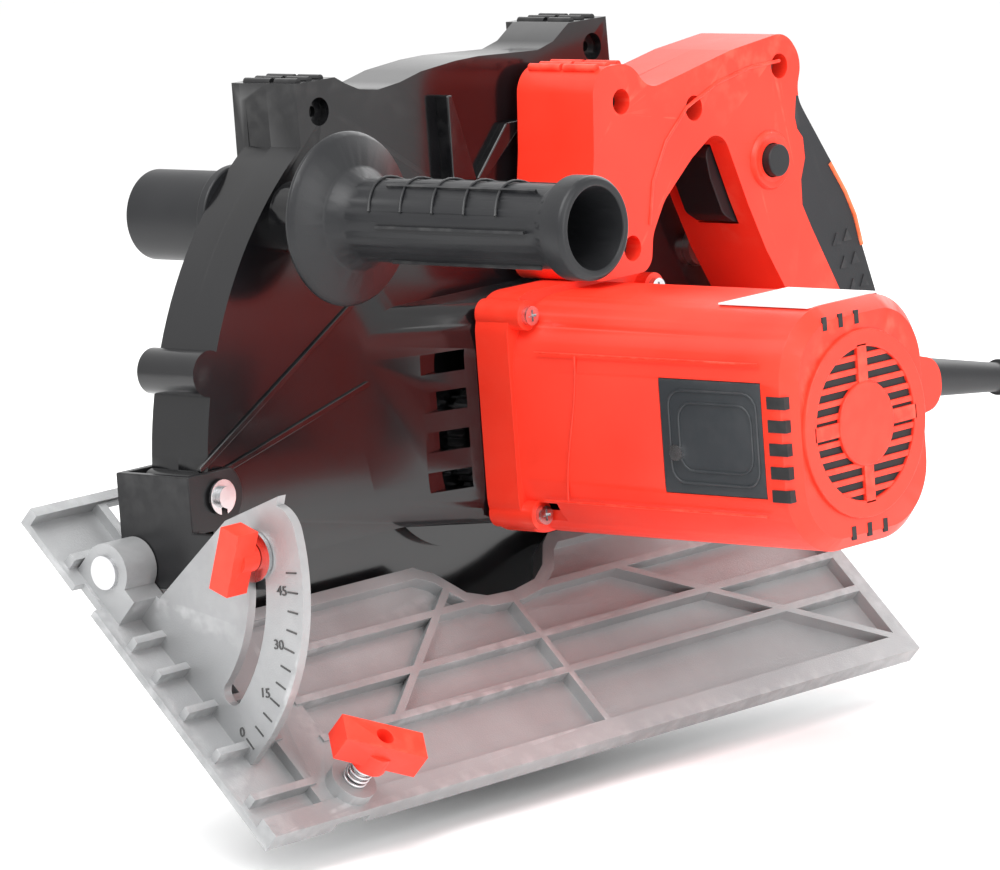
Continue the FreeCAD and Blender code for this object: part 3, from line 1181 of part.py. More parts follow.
# ---------------- everything, by node ----------------
def all_nodes():
    nodes = {
        "base_plate": tilt(base_plate()),
        "bevel_rivets": tilt(bevel_rivets()),
        "guide_screw": tilt(guide_screw()),
        "guide_wing": tilt(guide_wing()),
        "guide_spring": tilt(guide_spring()),
        "front_bracket": front_bracket(),
        "depth_pin": depth_pin(),
        "depth_pin_ring": depth_pin_ring(),
        "depth_arm": depth_arm(),
        "depth_bolt": depth_bolt(),
        "depth_washer": depth_washer(),
        "depth_lever": depth_lever(),
        "bevel_stud": bevel_stud(),
        "bevel_washer": bevel_washer(),
        "bevel_knob": bevel_knob(),
        "guard_outer": guard_outer(),
        "gear_housing": gear_housing(),
        "guard_screws": guard_screws(),
        "dust_port": dust_port(),
        "lower_guard": lower_guard(),
        "guard_lever": guard_lever(),
        "guard_spring": guard_spring(),
        "blade": blade(),
        "blade_ring": blade_ring(),
        "inner_flange": inner_flange(),
        "outer_flange": outer_flange(),
        "blade_bolt": blade_bolt(),
        "spindle": spindle(),
        "spindle_gear": spindle_gear(),
        "spindle_bearing": spindle_bearing(),
        "armature_shaft": armature_shaft(),
        "armature_core": armature_core(),
        "commutator": commutator(),
        "fan": fan(),
        "motor_bearings": motor_bearings(),
        "stator": stator(),
        "motor_housing": motor_housing(),
        "motor_screws": motor_screws(),
        "brush_cover_front": brush_cover(True),
        "brush_cover_rear": brush_cover(False),
        "brush_cover_screws": brush_cover_screws(),
        "brushes": brushes(),
        "brush_holders": brush_holders(),
        "handle_shell_motor": handle_half(True),
        "handle_shell_blade": handle_half(False),
        "handle_screws": handle_screws(),
        "soft_grip": soft_grip(),
        "trigger": trigger(),
        "trigger_pin": trigger_pin(),
        "lock_button": lock_button(),
        "lock_spring": lock_spring(),
        "switch_unit": switch_unit(),
        "strain_relief": strain_relief(),
        "side_handle": side_handle(),
        "side_handle_stud": side_handle_stud(),
    }
    return nodes


def footprint_shift(nodes):
    """Move that puts the origin at the middle of the bounding box, at its lowest level."""
    whole = FreeCAD.BoundBox()
    for shape in nodes.values():
        whole.add(shape.optimalBoundingBox())
    return V(-(whole.XMin + whole.XMax) / 2, -(whole.YMin + whole.YMax) / 2, -whole.ZMin)


nodes = all_nodes()
shift = footprint_shift(nodes)
for name, shape in nodes.items():
    shape.translate(shift)
    shape.exportStep("parts/" + name + ".step")
    print(name, len(shape.Solids), round(shape.Volume), shape.isValid())
print("shift", [round(value, 4) for value in shift])
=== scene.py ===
import bpy
import bmesh
import json
import math
from mathutils import Matrix, Vector

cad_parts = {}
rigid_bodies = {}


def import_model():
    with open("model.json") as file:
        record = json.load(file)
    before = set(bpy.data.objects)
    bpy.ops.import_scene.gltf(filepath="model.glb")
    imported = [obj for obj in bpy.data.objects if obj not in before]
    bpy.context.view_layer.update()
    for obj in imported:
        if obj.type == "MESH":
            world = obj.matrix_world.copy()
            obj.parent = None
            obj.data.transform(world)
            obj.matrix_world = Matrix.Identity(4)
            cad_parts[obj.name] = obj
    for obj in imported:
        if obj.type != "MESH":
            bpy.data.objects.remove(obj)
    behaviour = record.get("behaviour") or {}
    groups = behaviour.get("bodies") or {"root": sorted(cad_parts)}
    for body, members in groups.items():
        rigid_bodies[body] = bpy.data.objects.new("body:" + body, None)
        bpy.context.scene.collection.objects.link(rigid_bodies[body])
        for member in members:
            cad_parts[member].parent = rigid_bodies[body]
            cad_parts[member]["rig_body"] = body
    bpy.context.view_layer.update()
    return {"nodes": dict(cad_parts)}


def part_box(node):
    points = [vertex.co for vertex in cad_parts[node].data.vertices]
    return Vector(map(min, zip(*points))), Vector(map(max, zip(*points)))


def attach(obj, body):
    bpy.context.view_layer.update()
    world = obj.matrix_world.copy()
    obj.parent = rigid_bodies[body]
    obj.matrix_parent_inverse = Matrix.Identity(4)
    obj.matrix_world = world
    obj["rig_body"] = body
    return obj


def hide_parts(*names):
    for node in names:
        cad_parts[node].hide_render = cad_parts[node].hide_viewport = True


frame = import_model()

# The saw's own axes, in millimetres: x runs back from the front edge of the sole,
# y towards the motor, z up from the bevel axis. The blade's middle ties them to the frame.
BLADE_AT = (182.0, 3.5, 24.0)
MOTOR_AXIS = (208.0, 31.0)          # x and z, as are the other axes
MOTOR_TOP = 76.0
MOTOR_FRONT = 167.9
LOCK_BUTTON_AXIS = (308.7, 110.9)
SIDE_HANDLE_AXIS = (90.4, 118.3)
SIDE_HANDLE_SKIN = 15.75            # radius at which the grip's raised lines stand
GUARD_SIDE = 25.0                   # y just under the guard's motor-side face
HANDLE_SIDE = 69.0
BRUSH_COVER = (128, 176, 9, 51)     # y from and to, z from and to
INLET_SHADE = 29.5                   # radii of the air inlet in the motor's end; the first is the radius of the dark disc that paints the shade in its opening
INLET_RING = (28.0, 34.5)
INLET_MIDDLE = 15.5
SLAT_PITCH = 4.9
SHORT_SLOT_PITCH = 9.0
PAD_RIB_PITCH = 6.0
QUADRANT_FACE = 17.4
MARK_FIRST = -48.0                  # degrees round the bevel axis at which the scale's zero stands
MARK_STEP = 5.0
MARK_SPAN = (79.5, 84.5)            # radii that each mark runs between
NUMBER_RADIUS = 76.8
blade_low, blade_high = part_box("blade")
blade_middle = (blade_low + blade_high) / 2


def place(x, y, z):
    return blade_middle + Vector((BLADE_AT[0] - x, y - BLADE_AT[1], z - BLADE_AT[2])) / 1000


def y_of(corner):
    """The saw's own y of a point in the frame."""
    return BLADE_AT[1] + (corner.y - blade_middle.y) * 1000


# ---------------- shared shader groups ----------------
def new_group(name, inputs, outputs):
    group = bpy.data.node_groups.new(name, "ShaderNodeTree")
    for label, value in inputs:
        group.interface.new_socket(label, in_out="INPUT", socket_type="NodeSocketFloat").default_value = value
    for label, kind in outputs:
        group.interface.new_socket(label, in_out="OUTPUT", socket_type=kind)
    return group, group.nodes.new("NodeGroupInput"), group.nodes.new("NodeGroupOutput")


def ramp_node(nodes, low, high):
    ramp = nodes.new("ShaderNodeMapRange")
    ramp.inputs["From Min"].default_value = low
    ramp.inputs["From Max"].default_value = high
    return ramp


def grain_group():
    """Fine moulded or blasted skin: a height and a slow cloudy mask."""
    group, given, out = new_group("fine grain", [("Size", 900.0), ("Cloud Size", 18.0)],
                                  [("Height", "NodeSocketFloat"), ("Cloud", "NodeSocketFloat")])
    nodes, links = group.nodes, group.links
    coords = nodes.new("ShaderNodeTexCoord")
    fine = nodes.new("ShaderNodeTexNoise")
    fine.inputs["Detail"].default_value = 3
    links.new(coords.outputs["Object"], fine.inputs["Vector"])
    links.new(given.outputs["Size"], fine.inputs["Scale"])
    links.new(fine.outputs["Fac"], out.inputs["Height"])
    cloud = nodes.new("ShaderNodeTexNoise")
    cloud.inputs["Detail"].default_value = 4
    links.new(coords.outputs["Object"], cloud.inputs["Vector"])
    links.new(given.outputs["Cloud Size"], cloud.inputs["Scale"])
    spread = ramp_node(nodes, 0.35, 0.65)
    links.new(cloud.outputs["Fac"], spread.inputs["Value"])
    links.new(spread.outputs["Result"], out.inputs["Cloud"])
    return group


def edge_group():
    """Light rubbing where an edge stands out, broken up by noise."""
    group, given, out = new_group("edge rub", [("Break Up", 160.0)], [("Mask", "NodeSocketFloat")])
    nodes, links = group.nodes, group.links
    shape = nodes.new("ShaderNodeNewGeometry")
    edge = ramp_node(nodes, 0.53, 0.62)
    links.new(shape.outputs["Pointiness"], edge.inputs["Value"])
    coords = nodes.new("ShaderNodeTexCoord")
    noise = nodes.new("ShaderNodeTexNoise")
    links.new(coords.outputs["Object"], noise.inputs["Vector"])
    links.new(given.outputs["Break Up"], noise.inputs["Scale"])
    broken = ramp_node(nodes, 0.42, 0.66)
    links.new(noise.outputs["Fac"], broken.inputs["Value"])
    both = nodes.new("ShaderNodeMath")
    both.operation = "MULTIPLY"
    links.new(edge.outputs["Result"], both.inputs[0])
    links.new(broken.outputs["Result"], both.inputs[1])
    links.new(both.outputs["Value"], out.inputs["Mask"])
    return group


def dust_group():
    """A thin film of dust on faces that look up."""
    group, given, out = new_group("settled dust", [("Patch Size", 40.0)], [("Mask", "NodeSocketFloat")])
    nodes, links = group.nodes, group.links
    shape = nodes.new("ShaderNodeNewGeometry")
    split = nodes.new("ShaderNodeSeparateXYZ")
    links.new(shape.outputs["Normal"], split.inputs["Vector"])
    upward = ramp_node(nodes, 0.2, 1.0)
    links.new(split.outputs["Z"], upward.inputs["Value"])
    coords = nodes.new("ShaderNodeTexCoord")
    noise = nodes.new("ShaderNodeTexNoise")
    noise.inputs["Detail"].default_value = 5
    links.new(coords.outputs["Object"], noise.inputs["Vector"])
    links.new(given.outputs["Patch Size"], noise.inputs["Scale"])
    patch = ramp_node(nodes, 0.35, 0.75)
    links.new(noise.outputs["Fac"], patch.inputs["Value"])
    both = nodes.new("ShaderNodeMath")
    both.operation = "MULTIPLY"
    links.new(upward.outputs["Result"], both.inputs[0])
    links.new(patch.outputs["Result"], both.inputs[1])
    links.new(both.outputs["Value"], out.inputs["Mask"])
    return group


GRAIN = grain_group()
EDGE = edge_group()
DUST = dust_group()


def mixed(nodes, links, amount, first, second):
    """A colour that turns from first to second with amount; each is a colour or a socket."""
    mix = nodes.new("ShaderNodeMix")
    mix.data_type = "RGBA"
    links.new(amount, mix.inputs["Factor"])
    for socket, value in ((mix.inputs["A"], first), (mix.inputs["B"], second)):
        if isinstance(value, tuple):
            socket.default_value = (*value, 1)
        else:
            links.new(value, socket)
    return mix.outputs["Result"]


def finish(name, colour, second, worn, rough=(0.3, 0.4), metal=0.0, grain=900.0, height=0.00002,
           coat=0.0, dust=0.06, rub=0.5, specular=0.5):
    material = bpy.data.materials.new(name)
    material.use_nodes = True
    nodes, links = material.node_tree.nodes, material.node_tree.links
    shader = nodes["Principled BSDF"]
    skin = nodes.new("ShaderNodeGroup")
    skin.node_tree = GRAIN
    skin.inputs["Size"].default_value = grain
    base = mixed(nodes, links, skin.outputs["Cloud"], colour, second)
    edge = nodes.new("ShaderNodeGroup")
    edge.node_tree = EDGE
    rubbed = nodes.new("ShaderNodeMath")
    rubbed.operation = "MULTIPLY"
    links.new(edge.outputs["Mask"], rubbed.inputs[0])
    rubbed.inputs[1].default_value = rub
    base = mixed(nodes, links, rubbed.outputs["Value"], base, worn)
    film = nodes.new("ShaderNodeGroup")
    film.node_tree = DUST
    thin = nodes.new("ShaderNodeMath")
    thin.operation = "MULTIPLY"
    links.new(film.outputs["Mask"], thin.inputs[0])
    thin.inputs[1].default_value = dust
    base = mixed(nodes, links, thin.outputs["Value"], base, (0.55, 0.53, 0.5))
    links.new(base, shader.inputs["Base Color"])
    roughness = nodes.new("ShaderNodeMapRange")
    roughness.inputs["To Min"].default_value = rough[0]
    roughness.inputs["To Max"].default_value = rough[1]
    links.new(skin.outputs["Cloud"], roughness.inputs["Value"])
    links.new(roughness.outputs["Result"], shader.inputs["Roughness"])
    bump = nodes.new("ShaderNodeBump")
    bump.inputs["Distance"].default_value = height
    bump.inputs["Strength"].default_value = 1.0
    links.new(skin.outputs["Height"], bump.inputs["Height"])
    links.new(bump.outputs["Normal"], shader.inputs["Normal"])
    shader.inputs["Metallic"].default_value = metal
    shader.inputs["Coat Weight"].default_value = coat
    shader.inputs["Coat Roughness"].default_value = 0.12
    shader.inputs["Specular IOR Level"].default_value = specular
    return material


CAST = finish("blasted cast aluminium", (0.30, 0.305, 0.31), (0.38, 0.385, 0.39), (0.62, 0.62, 0.63),
              rough=(0.42, 0.55), metal=0.55, grain=1500.0, height=0.00012, dust=0.02)
ENAMEL = finish("black gloss enamel", (0.0035, 0.0035, 0.004), (0.006, 0.006, 0.007), (0.03, 0.03, 0.03),
                rough=(0.16, 0.24), grain=350.0, height=0.000006, coat=0.35, dust=0.006, specular=0.35)
BLACK_METAL = finish("blackened steel", (0.007, 0.007, 0.008), (0.014, 0.014, 0.015), (0.12, 0.12, 0.12),
                     rough=(0.26, 0.38), metal=0.2, grain=700.0, height=0.00002, dust=0.01, specular=0.4)
STEEL = finish("plated steel", (0.55, 0.55, 0.56), (0.66, 0.66, 0.67), (0.8, 0.8, 0.8),
               rough=(0.18, 0.32), metal=1.0, grain=500.0, height=0.00001, dust=0.02)
BLADE = finish("ground saw steel", (0.42, 0.43, 0.45), (0.5, 0.51, 0.53), (0.7, 0.7, 0.7),
               rough=(0.26, 0.36), metal=1.0, grain=240.0, height=0.00001, dust=0.02)
COPPER = finish("lacquered copper", (0.6, 0.25, 0.1), (0.7, 0.32, 0.14), (0.8, 0.45, 0.25),
                rough=(0.25, 0.4), metal=1.0, grain=400.0)
RED = finish("red moulded nylon", (0.80, 0.032, 0.014), (0.87, 0.042, 0.020), (0.9, 0.16, 0.10),
             rough=(0.34, 0.44), grain=1600.0, height=0.00003, dust=0.01, rub=0.3, specular=0.35)
BLACK = finish("black moulded nylon", (0.009, 0.0095, 0.011), (0.014, 0.0145, 0.016), (0.05, 0.05, 0.05),
               rough=(0.38, 0.5), grain=1400.0, height=0.00004, dust=0.01, specular=0.35)
GREY = finish("dark grey nylon", (0.022, 0.026, 0.03), (0.030, 0.034, 0.038), (0.1, 0.1, 0.1),
              rough=(0.42, 0.55), grain=1400.0, height=0.00004, dust=0.01)
SOFT = finish("soft grip rubber", (0.018, 0.019, 0.021), (0.026, 0.027, 0.03), (0.06, 0.06, 0.06),
              rough=(0.6, 0.72), grain=2200.0, height=0.00008, dust=0.01, specular=0.3)
CARBON = finish("carbon", (0.03, 0.03, 0.03), (0.04, 0.04, 0.04), (0.08, 0.08, 0.08), rough=(0.5, 0.6))
ORANGE = finish("orange rubber line", (0.75, 0.12, 0.03), (0.8, 0.16, 0.05), (0.9, 0.3, 0.15),
                rough=(0.5, 0.6), grain=1800.0, height=0.00004)
LABEL = finish("blank label", (0.78, 0.78, 0.77), (0.83, 0.83, 0.82), (0.6, 0.6, 0.6),
               rough=(0.35, 0.45), grain=300.0, height=0.000005, dust=0.03)
# Near black that paints the shade inside openings: the air inlet, the side vents and the short slots.
PAINTED_SHADE = finish("painted shade in openings", (0.006, 0.006, 0.007), (0.011, 0.011, 0.012), (0.03, 0.03, 0.03),
              rough=(0.6, 0.75), grain=700.0, dust=0.0)
# Dark colour that paints the shade in the quadrant's engraved marks and numbers.
ENGRAVING_SHADE = finish("painted shade of engraved marks", (0.03, 0.03, 0.03), (0.05, 0.05, 0.05), (0.09, 0.09, 0.09), rough=(0.5, 0.6))

NODE_FINISH = {
    CAST: ["base_plate"],
    ENAMEL: ["guard_outer", "gear_housing", "lower_guard"],
    STEEL: ["motor_screws", "brush_cover_screws", "bevel_rivets", "guard_spring", "guide_spring",
            "lock_spring", "depth_pin", "depth_pin_ring", "bevel_washer", "bevel_stud", "guide_screw",
            "depth_bolt", "depth_washer", "spindle", "spindle_gear", "spindle_bearing", "motor_bearings",
            "armature_shaft", "trigger_pin", "blade_ring", "brush_holders"],
    BLADE: ["blade"],
    COPPER: ["armature_core", "commutator", "stator"],
    RED: ["motor_housing", "handle_shell_motor", "handle_shell_blade", "bevel_knob", "guide_wing"],
    BLACK: ["dust_port", "lock_button", "trigger", "strain_relief", "side_handle", "depth_lever", "fan",
            "switch_unit", "guard_lever"],
    GREY: ["brush_cover_front", "brush_cover_rear"],
    SOFT: ["soft_grip"],
    CARBON: ["brushes"],
    BLACK_METAL: ["front_bracket", "depth_arm", "inner_flange", "outer_flange", "side_handle_stud",
                  "blade_bolt", "guard_screws", "handle_screws"],
}
for coat_of, members in NODE_FINISH.items():
    for member in members:
        mesh = frame["nodes"][member].data
        mesh.materials.clear()
        mesh.materials.append(coat_of)


# ---------------- making pieces ----------------
def body_of_node(node):
    return frame["nodes"][node]["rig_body"]


def finished(name, mesh, material, body, edge=0.0, segments=2, sharp=35.0):
    """Links a mesh as a piece that rides on a body, with its edges rounded by edge millimetres."""
    mesh.materials.clear()
    mesh.materials.append(material)
    mesh.shade_smooth()
    mesh.set_sharp_from_angle(angle=math.radians(sharp))
    piece = bpy.data.objects.new(name, mesh)
    bpy.context.scene.collection.objects.link(piece)
    if edge:
        rounding = piece.modifiers.new("rounding", "BEVEL")
        rounding.width = edge / 1000
        rounding.segments = segments
        rounding.limit_method = "ANGLE"
        rounding.angle_limit = math.radians(35)
        rounding.harden_normals = True
    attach(piece, body)
    return piece


def from_bmesh(name, shape, material, body, edge=0.0, segments=2, sharp=35.0):
    bmesh.ops.recalc_face_normals(shape, faces=shape.faces)
    mesh = bpy.data.meshes.new(name)
    shape.to_mesh(mesh)
    shape.free()
    return finished(name, mesh, material, body, edge, segments, sharp)


def rounded(node, material, edge, segments=2):
    """Stands for a CAD node with the same shape and its sharp edges rounded over."""
    shape = bmesh.new()
    shape.from_mesh(frame["nodes"][node].data)
    bmesh.ops.remove_doubles(shape, verts=shape.verts, dist=0.00001)
    bmesh.ops.dissolve_limit(shape, angle_limit=math.radians(2), verts=shape.verts, edges=shape.edges)
    piece = from_bmesh(node + "_rounded", shape, material, body_of_node(node), edge, segments)
    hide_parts(node)
    return piece


def add_prism(shape, outline, low, high):
    """Adds a solid drawn in x and z that runs from y low to y high."""
    near = [shape.verts.new(place(x, low, z)) for x, z in outline]
    far = [shape.verts.new(place(x, high, z)) for x, z in outline]
    shape.faces.new(near)
    shape.faces.new(far[::-1])
    for i in range(len(outline)):
        j = (i + 1) % len(outline)
        shape.faces.new((near[i], near[j], far[j], far[i]))


def prism(name, outline, low, high, material, body, edge=0.4):
    shape = bmesh.new()
    add_prism(shape, outline, low, high)
    return from_bmesh(name, shape, material, body, edge)


def strip(start, end, width):
    """Outline of a straight rib between two points, with its ends cut round."""
    along = Vector(end) - Vector(start)
    turn = math.atan2(along.y, along.x)
    points = []
    for middle, first, half in ((end, -90, width / 2), (start, 90, width / 2)):
        for step in range(5):
            angle = turn + math.radians(first + 45 * step)
            points.append((middle[0] + half * math.cos(angle), middle[1] + half * math.sin(angle)))
    return points


def ribs(name, lines, width, low, high, material, body, edge=0.5):
    shape = bmesh.new()
    for start, end in lines:
        add_prism(shape, strip(start, end, width), low, high)
    return from_bmesh(name, shape, material, body, edge)


def ring_points(x, z, radius, count):
    turns = [2 * math.pi * i / count for i in range(count)]
    return [(x + radius * math.cos(turn), z + radius * math.sin(turn)) for turn in turns]


def bead(name, points, radius, material, body, closed=False):
    """A thin raised bead along a path of points given in the saw's axes."""
    line = bpy.data.curves.new(name, "CURVE")
    line.dimensions = "3D"
    line.bevel_depth = radius / 1000
    line.bevel_resolution = 3
    line.use_fill_caps = True
    run = line.splines.new("POLY")
    run.points.add(len(points) - 1)
    for spot, point in zip(run.points, points):
        spot.co = (*place(*point), 1)
    run.use_cyclic_u = closed
    holder = bpy.data.objects.new(name + "_path", line)
    bpy.context.scene.collection.objects.link(holder)
    mesh = bpy.data.meshes.new_from_object(holder.evaluated_get(bpy.context.evaluated_depsgraph_get()))
    bpy.data.objects.remove(holder)
    mesh.name = name
    return finished(name, mesh, material, body)


def revolve(name, start, axis, profile, material, body, count=64, edge=0.0):
    """Turns a profile of (distance, radius) pairs about an axis."""
    axis = axis.normalized()
    side = axis.orthogonal().normalized()
    other = axis.cross(side)
    shape = bmesh.new()
    rings = []
    for distance, radius in profile:
        centre = start + axis * distance / 1000
        if radius == 0:
            rings.append([shape.verts.new(centre)])
            continue
        turns = [2 * math.pi * i / count for i in range(count)]
        rings.append([shape.verts.new(centre + (side * math.cos(t) + other * math.sin(t)) * radius / 1000)
                      for t in turns])
    for first, second in zip(rings, rings[1:]):
        for i in range(count):
            j = (i + 1) % count
            if len(first) == 1:
                shape.faces.new((first[0], second[i], second[j]))
            elif len(second) == 1:
                shape.faces.new((first[i], second[0], first[j]))
            else:
                shape.faces.new((first[i], second[i], second[j], first[j]))
    return from_bmesh(name, shape, material, body, edge, sharp=40)


# ---------------- repeated things, made by Geometry Nodes ----------------
def repeat_tree(name, material):
    """A tree that sets copies of its mesh in a straight or turned row."""
    tree = bpy.data.node_groups.new(name, "GeometryNodeTree")
    face = tree.interface
    face.new_socket("Geometry", in_out="INPUT", socket_type="NodeSocketGeometry")
    face.new_socket("Count", in_out="INPUT", socket_type="NodeSocketInt").default_value = 1
    for label in ("Step", "Turn", "Centre"):
        face.new_socket(label, in_out="INPUT", socket_type="NodeSocketVector")
    face.new_socket("Geometry", in_out="OUTPUT", socket_type="NodeSocketGeometry")
    nodes, links = tree.nodes, tree.links
    given = nodes.new("NodeGroupInput")
    out = nodes.new("NodeGroupOutput")
    spots = nodes.new("GeometryNodeMeshLine")
    links.new(given.outputs["Count"], spots.inputs["Count"])
    links.new(given.outputs["Centre"], spots.inputs["Start Location"])
    links.new(given.outputs["Step"], spots.inputs["Offset"])
    copies = nodes.new("GeometryNodeInstanceOnPoints")
    links.new(spots.outputs["Mesh"], copies.inputs["Points"])
    index = nodes.new("GeometryNodeInputIndex")
    turned = nodes.new("ShaderNodeVectorMath")
    turned.operation = "SCALE"
    links.new(given.outputs["Turn"], turned.inputs[0])
    links.new(index.outputs["Index"], turned.inputs["Scale"])
    links.new(turned.outputs["Vector"], copies.inputs["Rotation"])
    moved = nodes.new("GeometryNodeTransform")
    away = nodes.new("ShaderNodeVectorMath")
    away.operation = "SCALE"
    away.inputs["Scale"].default_value = -1.0
    links.new(given.outputs["Centre"], away.inputs[0])
    links.new(given.outputs["Geometry"], moved.inputs["Geometry"])
    links.new(away.outputs["Vector"], moved.inputs["Translation"])
    links.new(moved.outputs["Geometry"], copies.inputs["Instance"])
    real = nodes.new("GeometryNodeRealizeInstances")
    links.new(copies.outputs["Instances"], real.inputs["Geometry"])
    paint = nodes.new("GeometryNodeSetMaterial")
    paint.inputs["Material"].default_value = material
    links.new(real.outputs["Geometry"], paint.inputs["Geometry"])
    links.new(paint.outputs["Geometry"], out.inputs["Geometry"])
    return tree


NOWHERE = (0, 0, 0)


def repeated(name, shape, material, body, count, step=NOWHERE, turn=NOWHERE, centre=NOWHERE, sharp=35.0):
    """Repeats a small shape count times, stepping it (metres) or turning it (radians) about centre."""
    bmesh.ops.recalc_face_normals(shape, faces=shape.faces)
    seed = bpy.data.meshes.new(name + "_one")
    shape.to_mesh(seed)
    shape.free()
    holder = bpy.data.objects.new(name + "_row", seed)
    bpy.context.scene.collection.objects.link(holder)
    tree = repeat_tree(name + " row", material)
    rows = holder.modifiers.new("row", "NODES")
    rows.node_group = tree
    values = {"Count": count, "Step": step, "Turn": turn, "Centre": tuple(centre)}
    for item in tree.interface.items_tree:
        if item.in_out == "INPUT" and item.name in values:
            rows[item.identifier] = values[item.name]
    bpy.context.view_layer.update()
    mesh = bpy.data.meshes.new_from_object(holder.evaluated_get(bpy.context.evaluated_depsgraph_get()))
    bpy.data.objects.remove(holder)
    mesh.name = name
    return finished(name, mesh, material, body, sharp=sharp)


# ---------------- the saw's visible pieces ----------------
def dress_guard():
    rounded("guard_outer", ENAMEL, 2.2, 3)
    rounded("gear_housing", ENAMEL, 1.8, 3)
    ribs("guard_long_ribs", [((32.3, 34.4), (119.3, 83.3)), ((44.9, 32.3), (122.0, 51.5))], 2.4,
         GUARD_SIDE, GUARD_SIDE + 1.6, ENAMEL, "head")
    prism("guard_tall_fin", [(170.5, 120.5), (184.0, 119.5), (173.5, 152.5), (170.8, 152.5)],
          GUARD_SIDE, GUARD_SIDE + 6.5, ENAMEL, "head", 0.8)
    prism("guard_leaning_fin", [(186.6, 119.0), (192.0, 118.5), (216.0, 138.0), (205.0, 138.0)],
          GUARD_SIDE, GUARD_SIDE + 4, ENAMEL, "head", 0.8)
    for label, x, z in (("front", 107.2, 166.0), ("rear", 258.5, 170.5)):
        for side, low, high in (("blade", -4.0, 9.4), ("motor", 11.6, 22.5)):
            shape = bmesh.new()
            add_prism(shape, ring_points(x - PAD_RIB_PITCH, z, 1.5, 12), low, high)
            repeated("pad_ribs_" + label + "_" + side, shape, ENAMEL, "head", 3,
                     step=(-PAD_RIB_PITCH / 1000, 0, 0), sharp=60)


def dress_motor():
    rounded("motor_housing", RED, 0.9, 2)
    for node in ("brush_cover_front", "brush_cover_rear"):
        rounded(node, GREY, 0.5)
    front_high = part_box("brush_cover_front")[1]
    y_from, y_to, z_from, z_to = BRUSH_COVER
    face = BLADE_AT[0] + (blade_middle.x - front_high.x) * 1000 - 0.1
    for inset, radius in ((4.0, 0.5), (8.5, 0.45)):
        corner = 6.0
        y0, y1 = y_from + inset, y_to - inset * 0.6
        z0, z1 = z_from + inset, z_to - inset
        points = []
        for cy, cz, first in ((y1 - corner, z1 - corner, 0), (y0 + corner, z1 - corner, 90),
                              (y0 + corner, z0 + corner, 180), (y1 - corner, z0 + corner, 270)):
            for step in range(5):
                angle = math.radians(first + 22.5 * step)
                points.append((face, cy + corner * math.cos(angle), cz + corner * math.sin(angle)))
        bead("brush_cover_line_%d" % (inset * 10), points, radius, GREY, "head", closed=True)


def dress_motor_body():
    """Blank label on top, stepped vents by the end cap drawn as dark boxes of painted shade, parting lines
    and the raised front panel's edge.
    """
    low, high = MOTOR_TOP - 0.4, MOTOR_TOP + 0.25
    prism("motor_label", [(188, low), (228, low), (228, high), (188, high)], 142, 184, LABEL, "head", 0.1)
    # The vents are near-black boxes of painted shade, standing for the shade inside each opening.
    vent = bmesh.new()
    add_prism(vent, [(167.7, 8.0), (171.0, 8.0), (171.0, 12.5), (167.7, 12.5)], 179, 187.5)
    repeated("motor_side_vents_painted_shade", vent, PAINTED_SHADE, "head", 5, step=(0, 0, 0.0085))
    panel_low, panel_high = 2.5, 58.0
    for level in (panel_high, panel_low):
        line = [(MOTOR_FRONT, 68, level), (MOTOR_FRONT, 176, level)]
        bead("motor_panel_line_%d" % level, line, 0.4, RED, "head")
    curve = [(MOTOR_FRONT, 84 - 4 * math.cos(math.pi * i / 12), panel_low + (panel_high - panel_low) * i / 12)
             for i in range(13)]
    bead("motor_panel_curve", curve, 0.4, RED, "head")


def dress_end_cap():
    """The air inlet on the motor's end: slats over a dark disc of painted shade that stands for the opening,
    a ring of short slots drawn as dark boxes of painted shade, a round middle.
    """
    end = y_of(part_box("motor_housing")[1])
    x, z = MOTOR_AXIS
    # A flat near-black disc under the slats: painted shade standing for the shade inside the inlet's opening.
    prism("end_inlet_painted_shade", ring_points(x, z, INLET_SHADE, 48), end - 0.6, end + 0.15, PAINTED_SHADE, "head", 0.1)
    ring = bmesh.new()
    outer = ring_points(x, z, INLET_RING[1], 64)
    inner = ring_points(x, z, INLET_RING[0], 64)
    walls = []
    for y in (end - 0.5, end + 1.6):
        walls.append([[ring.verts.new(place(px, y, pz)) for px, pz in points] for points in (outer, inner)])
    for i in range(64):
        j = (i + 1) % 64
        for a, b in ((walls[0][0], walls[1][0]), (walls[1][0], walls[1][1]), (walls[1][1], walls[0][1]),
                     (walls[0][1], walls[0][0])):
            ring.faces.new((a[i], a[j], b[j], b[i]))
    from_bmesh("end_inlet_ring", ring, RED, "head", 0.5)
    slats = bmesh.new()
    for level in range(-5, 6):
        height = level * SLAT_PITCH
        half = math.sqrt(max(28.6 ** 2 - height ** 2, 0))
        add_prism(slats, [(x - half, z + height - 1.1), (x + half, z + height - 1.1),
                          (x + half, z + height + 1.1), (x - half, z + height + 1.1)], end, end + 1.1)
    from_bmesh("end_inlet_slats", slats, RED, "head", 0.3)
    spoke = bmesh.new()
    spoke_outline = [(x + 12, z - 2.6), (x + 29, z - 2.6), (x + 29, z + 2.6), (x + 12, z + 2.6)]
    add_prism(spoke, spoke_outline, end, end + 1.6)
    repeated("end_inlet_spokes", spoke, RED, "head", 4, turn=(0, math.pi / 2, 0), centre=place(x, end, z))
    prism("end_inlet_middle", ring_points(x, z, INLET_MIDDLE, 48), end, end + 2.2, RED, "head", 0.7)
    # Each short slot is a near-black box of painted shade standing for the shade inside the slot.
    short_slots = (("top", x, z + 36.5, z + 41.5, 1), ("low", x - SHORT_SLOT_PITCH, z - 41.5, z - 36.5, -1))
    for label, middle, low, high, way in short_slots:
        cut = bmesh.new()
        outline = [(middle - 1.2, low), (middle + 1.2, low), (middle + 1.2, high), (middle - 1.2, high)]
        add_prism(cut, outline, end - 0.5, end + 0.2)
        repeated("end_short_slots_painted_shade_" + label, cut, PAINTED_SHADE, "head", 3, step=(way * SHORT_SLOT_PITCH / 1000, 0, 0))


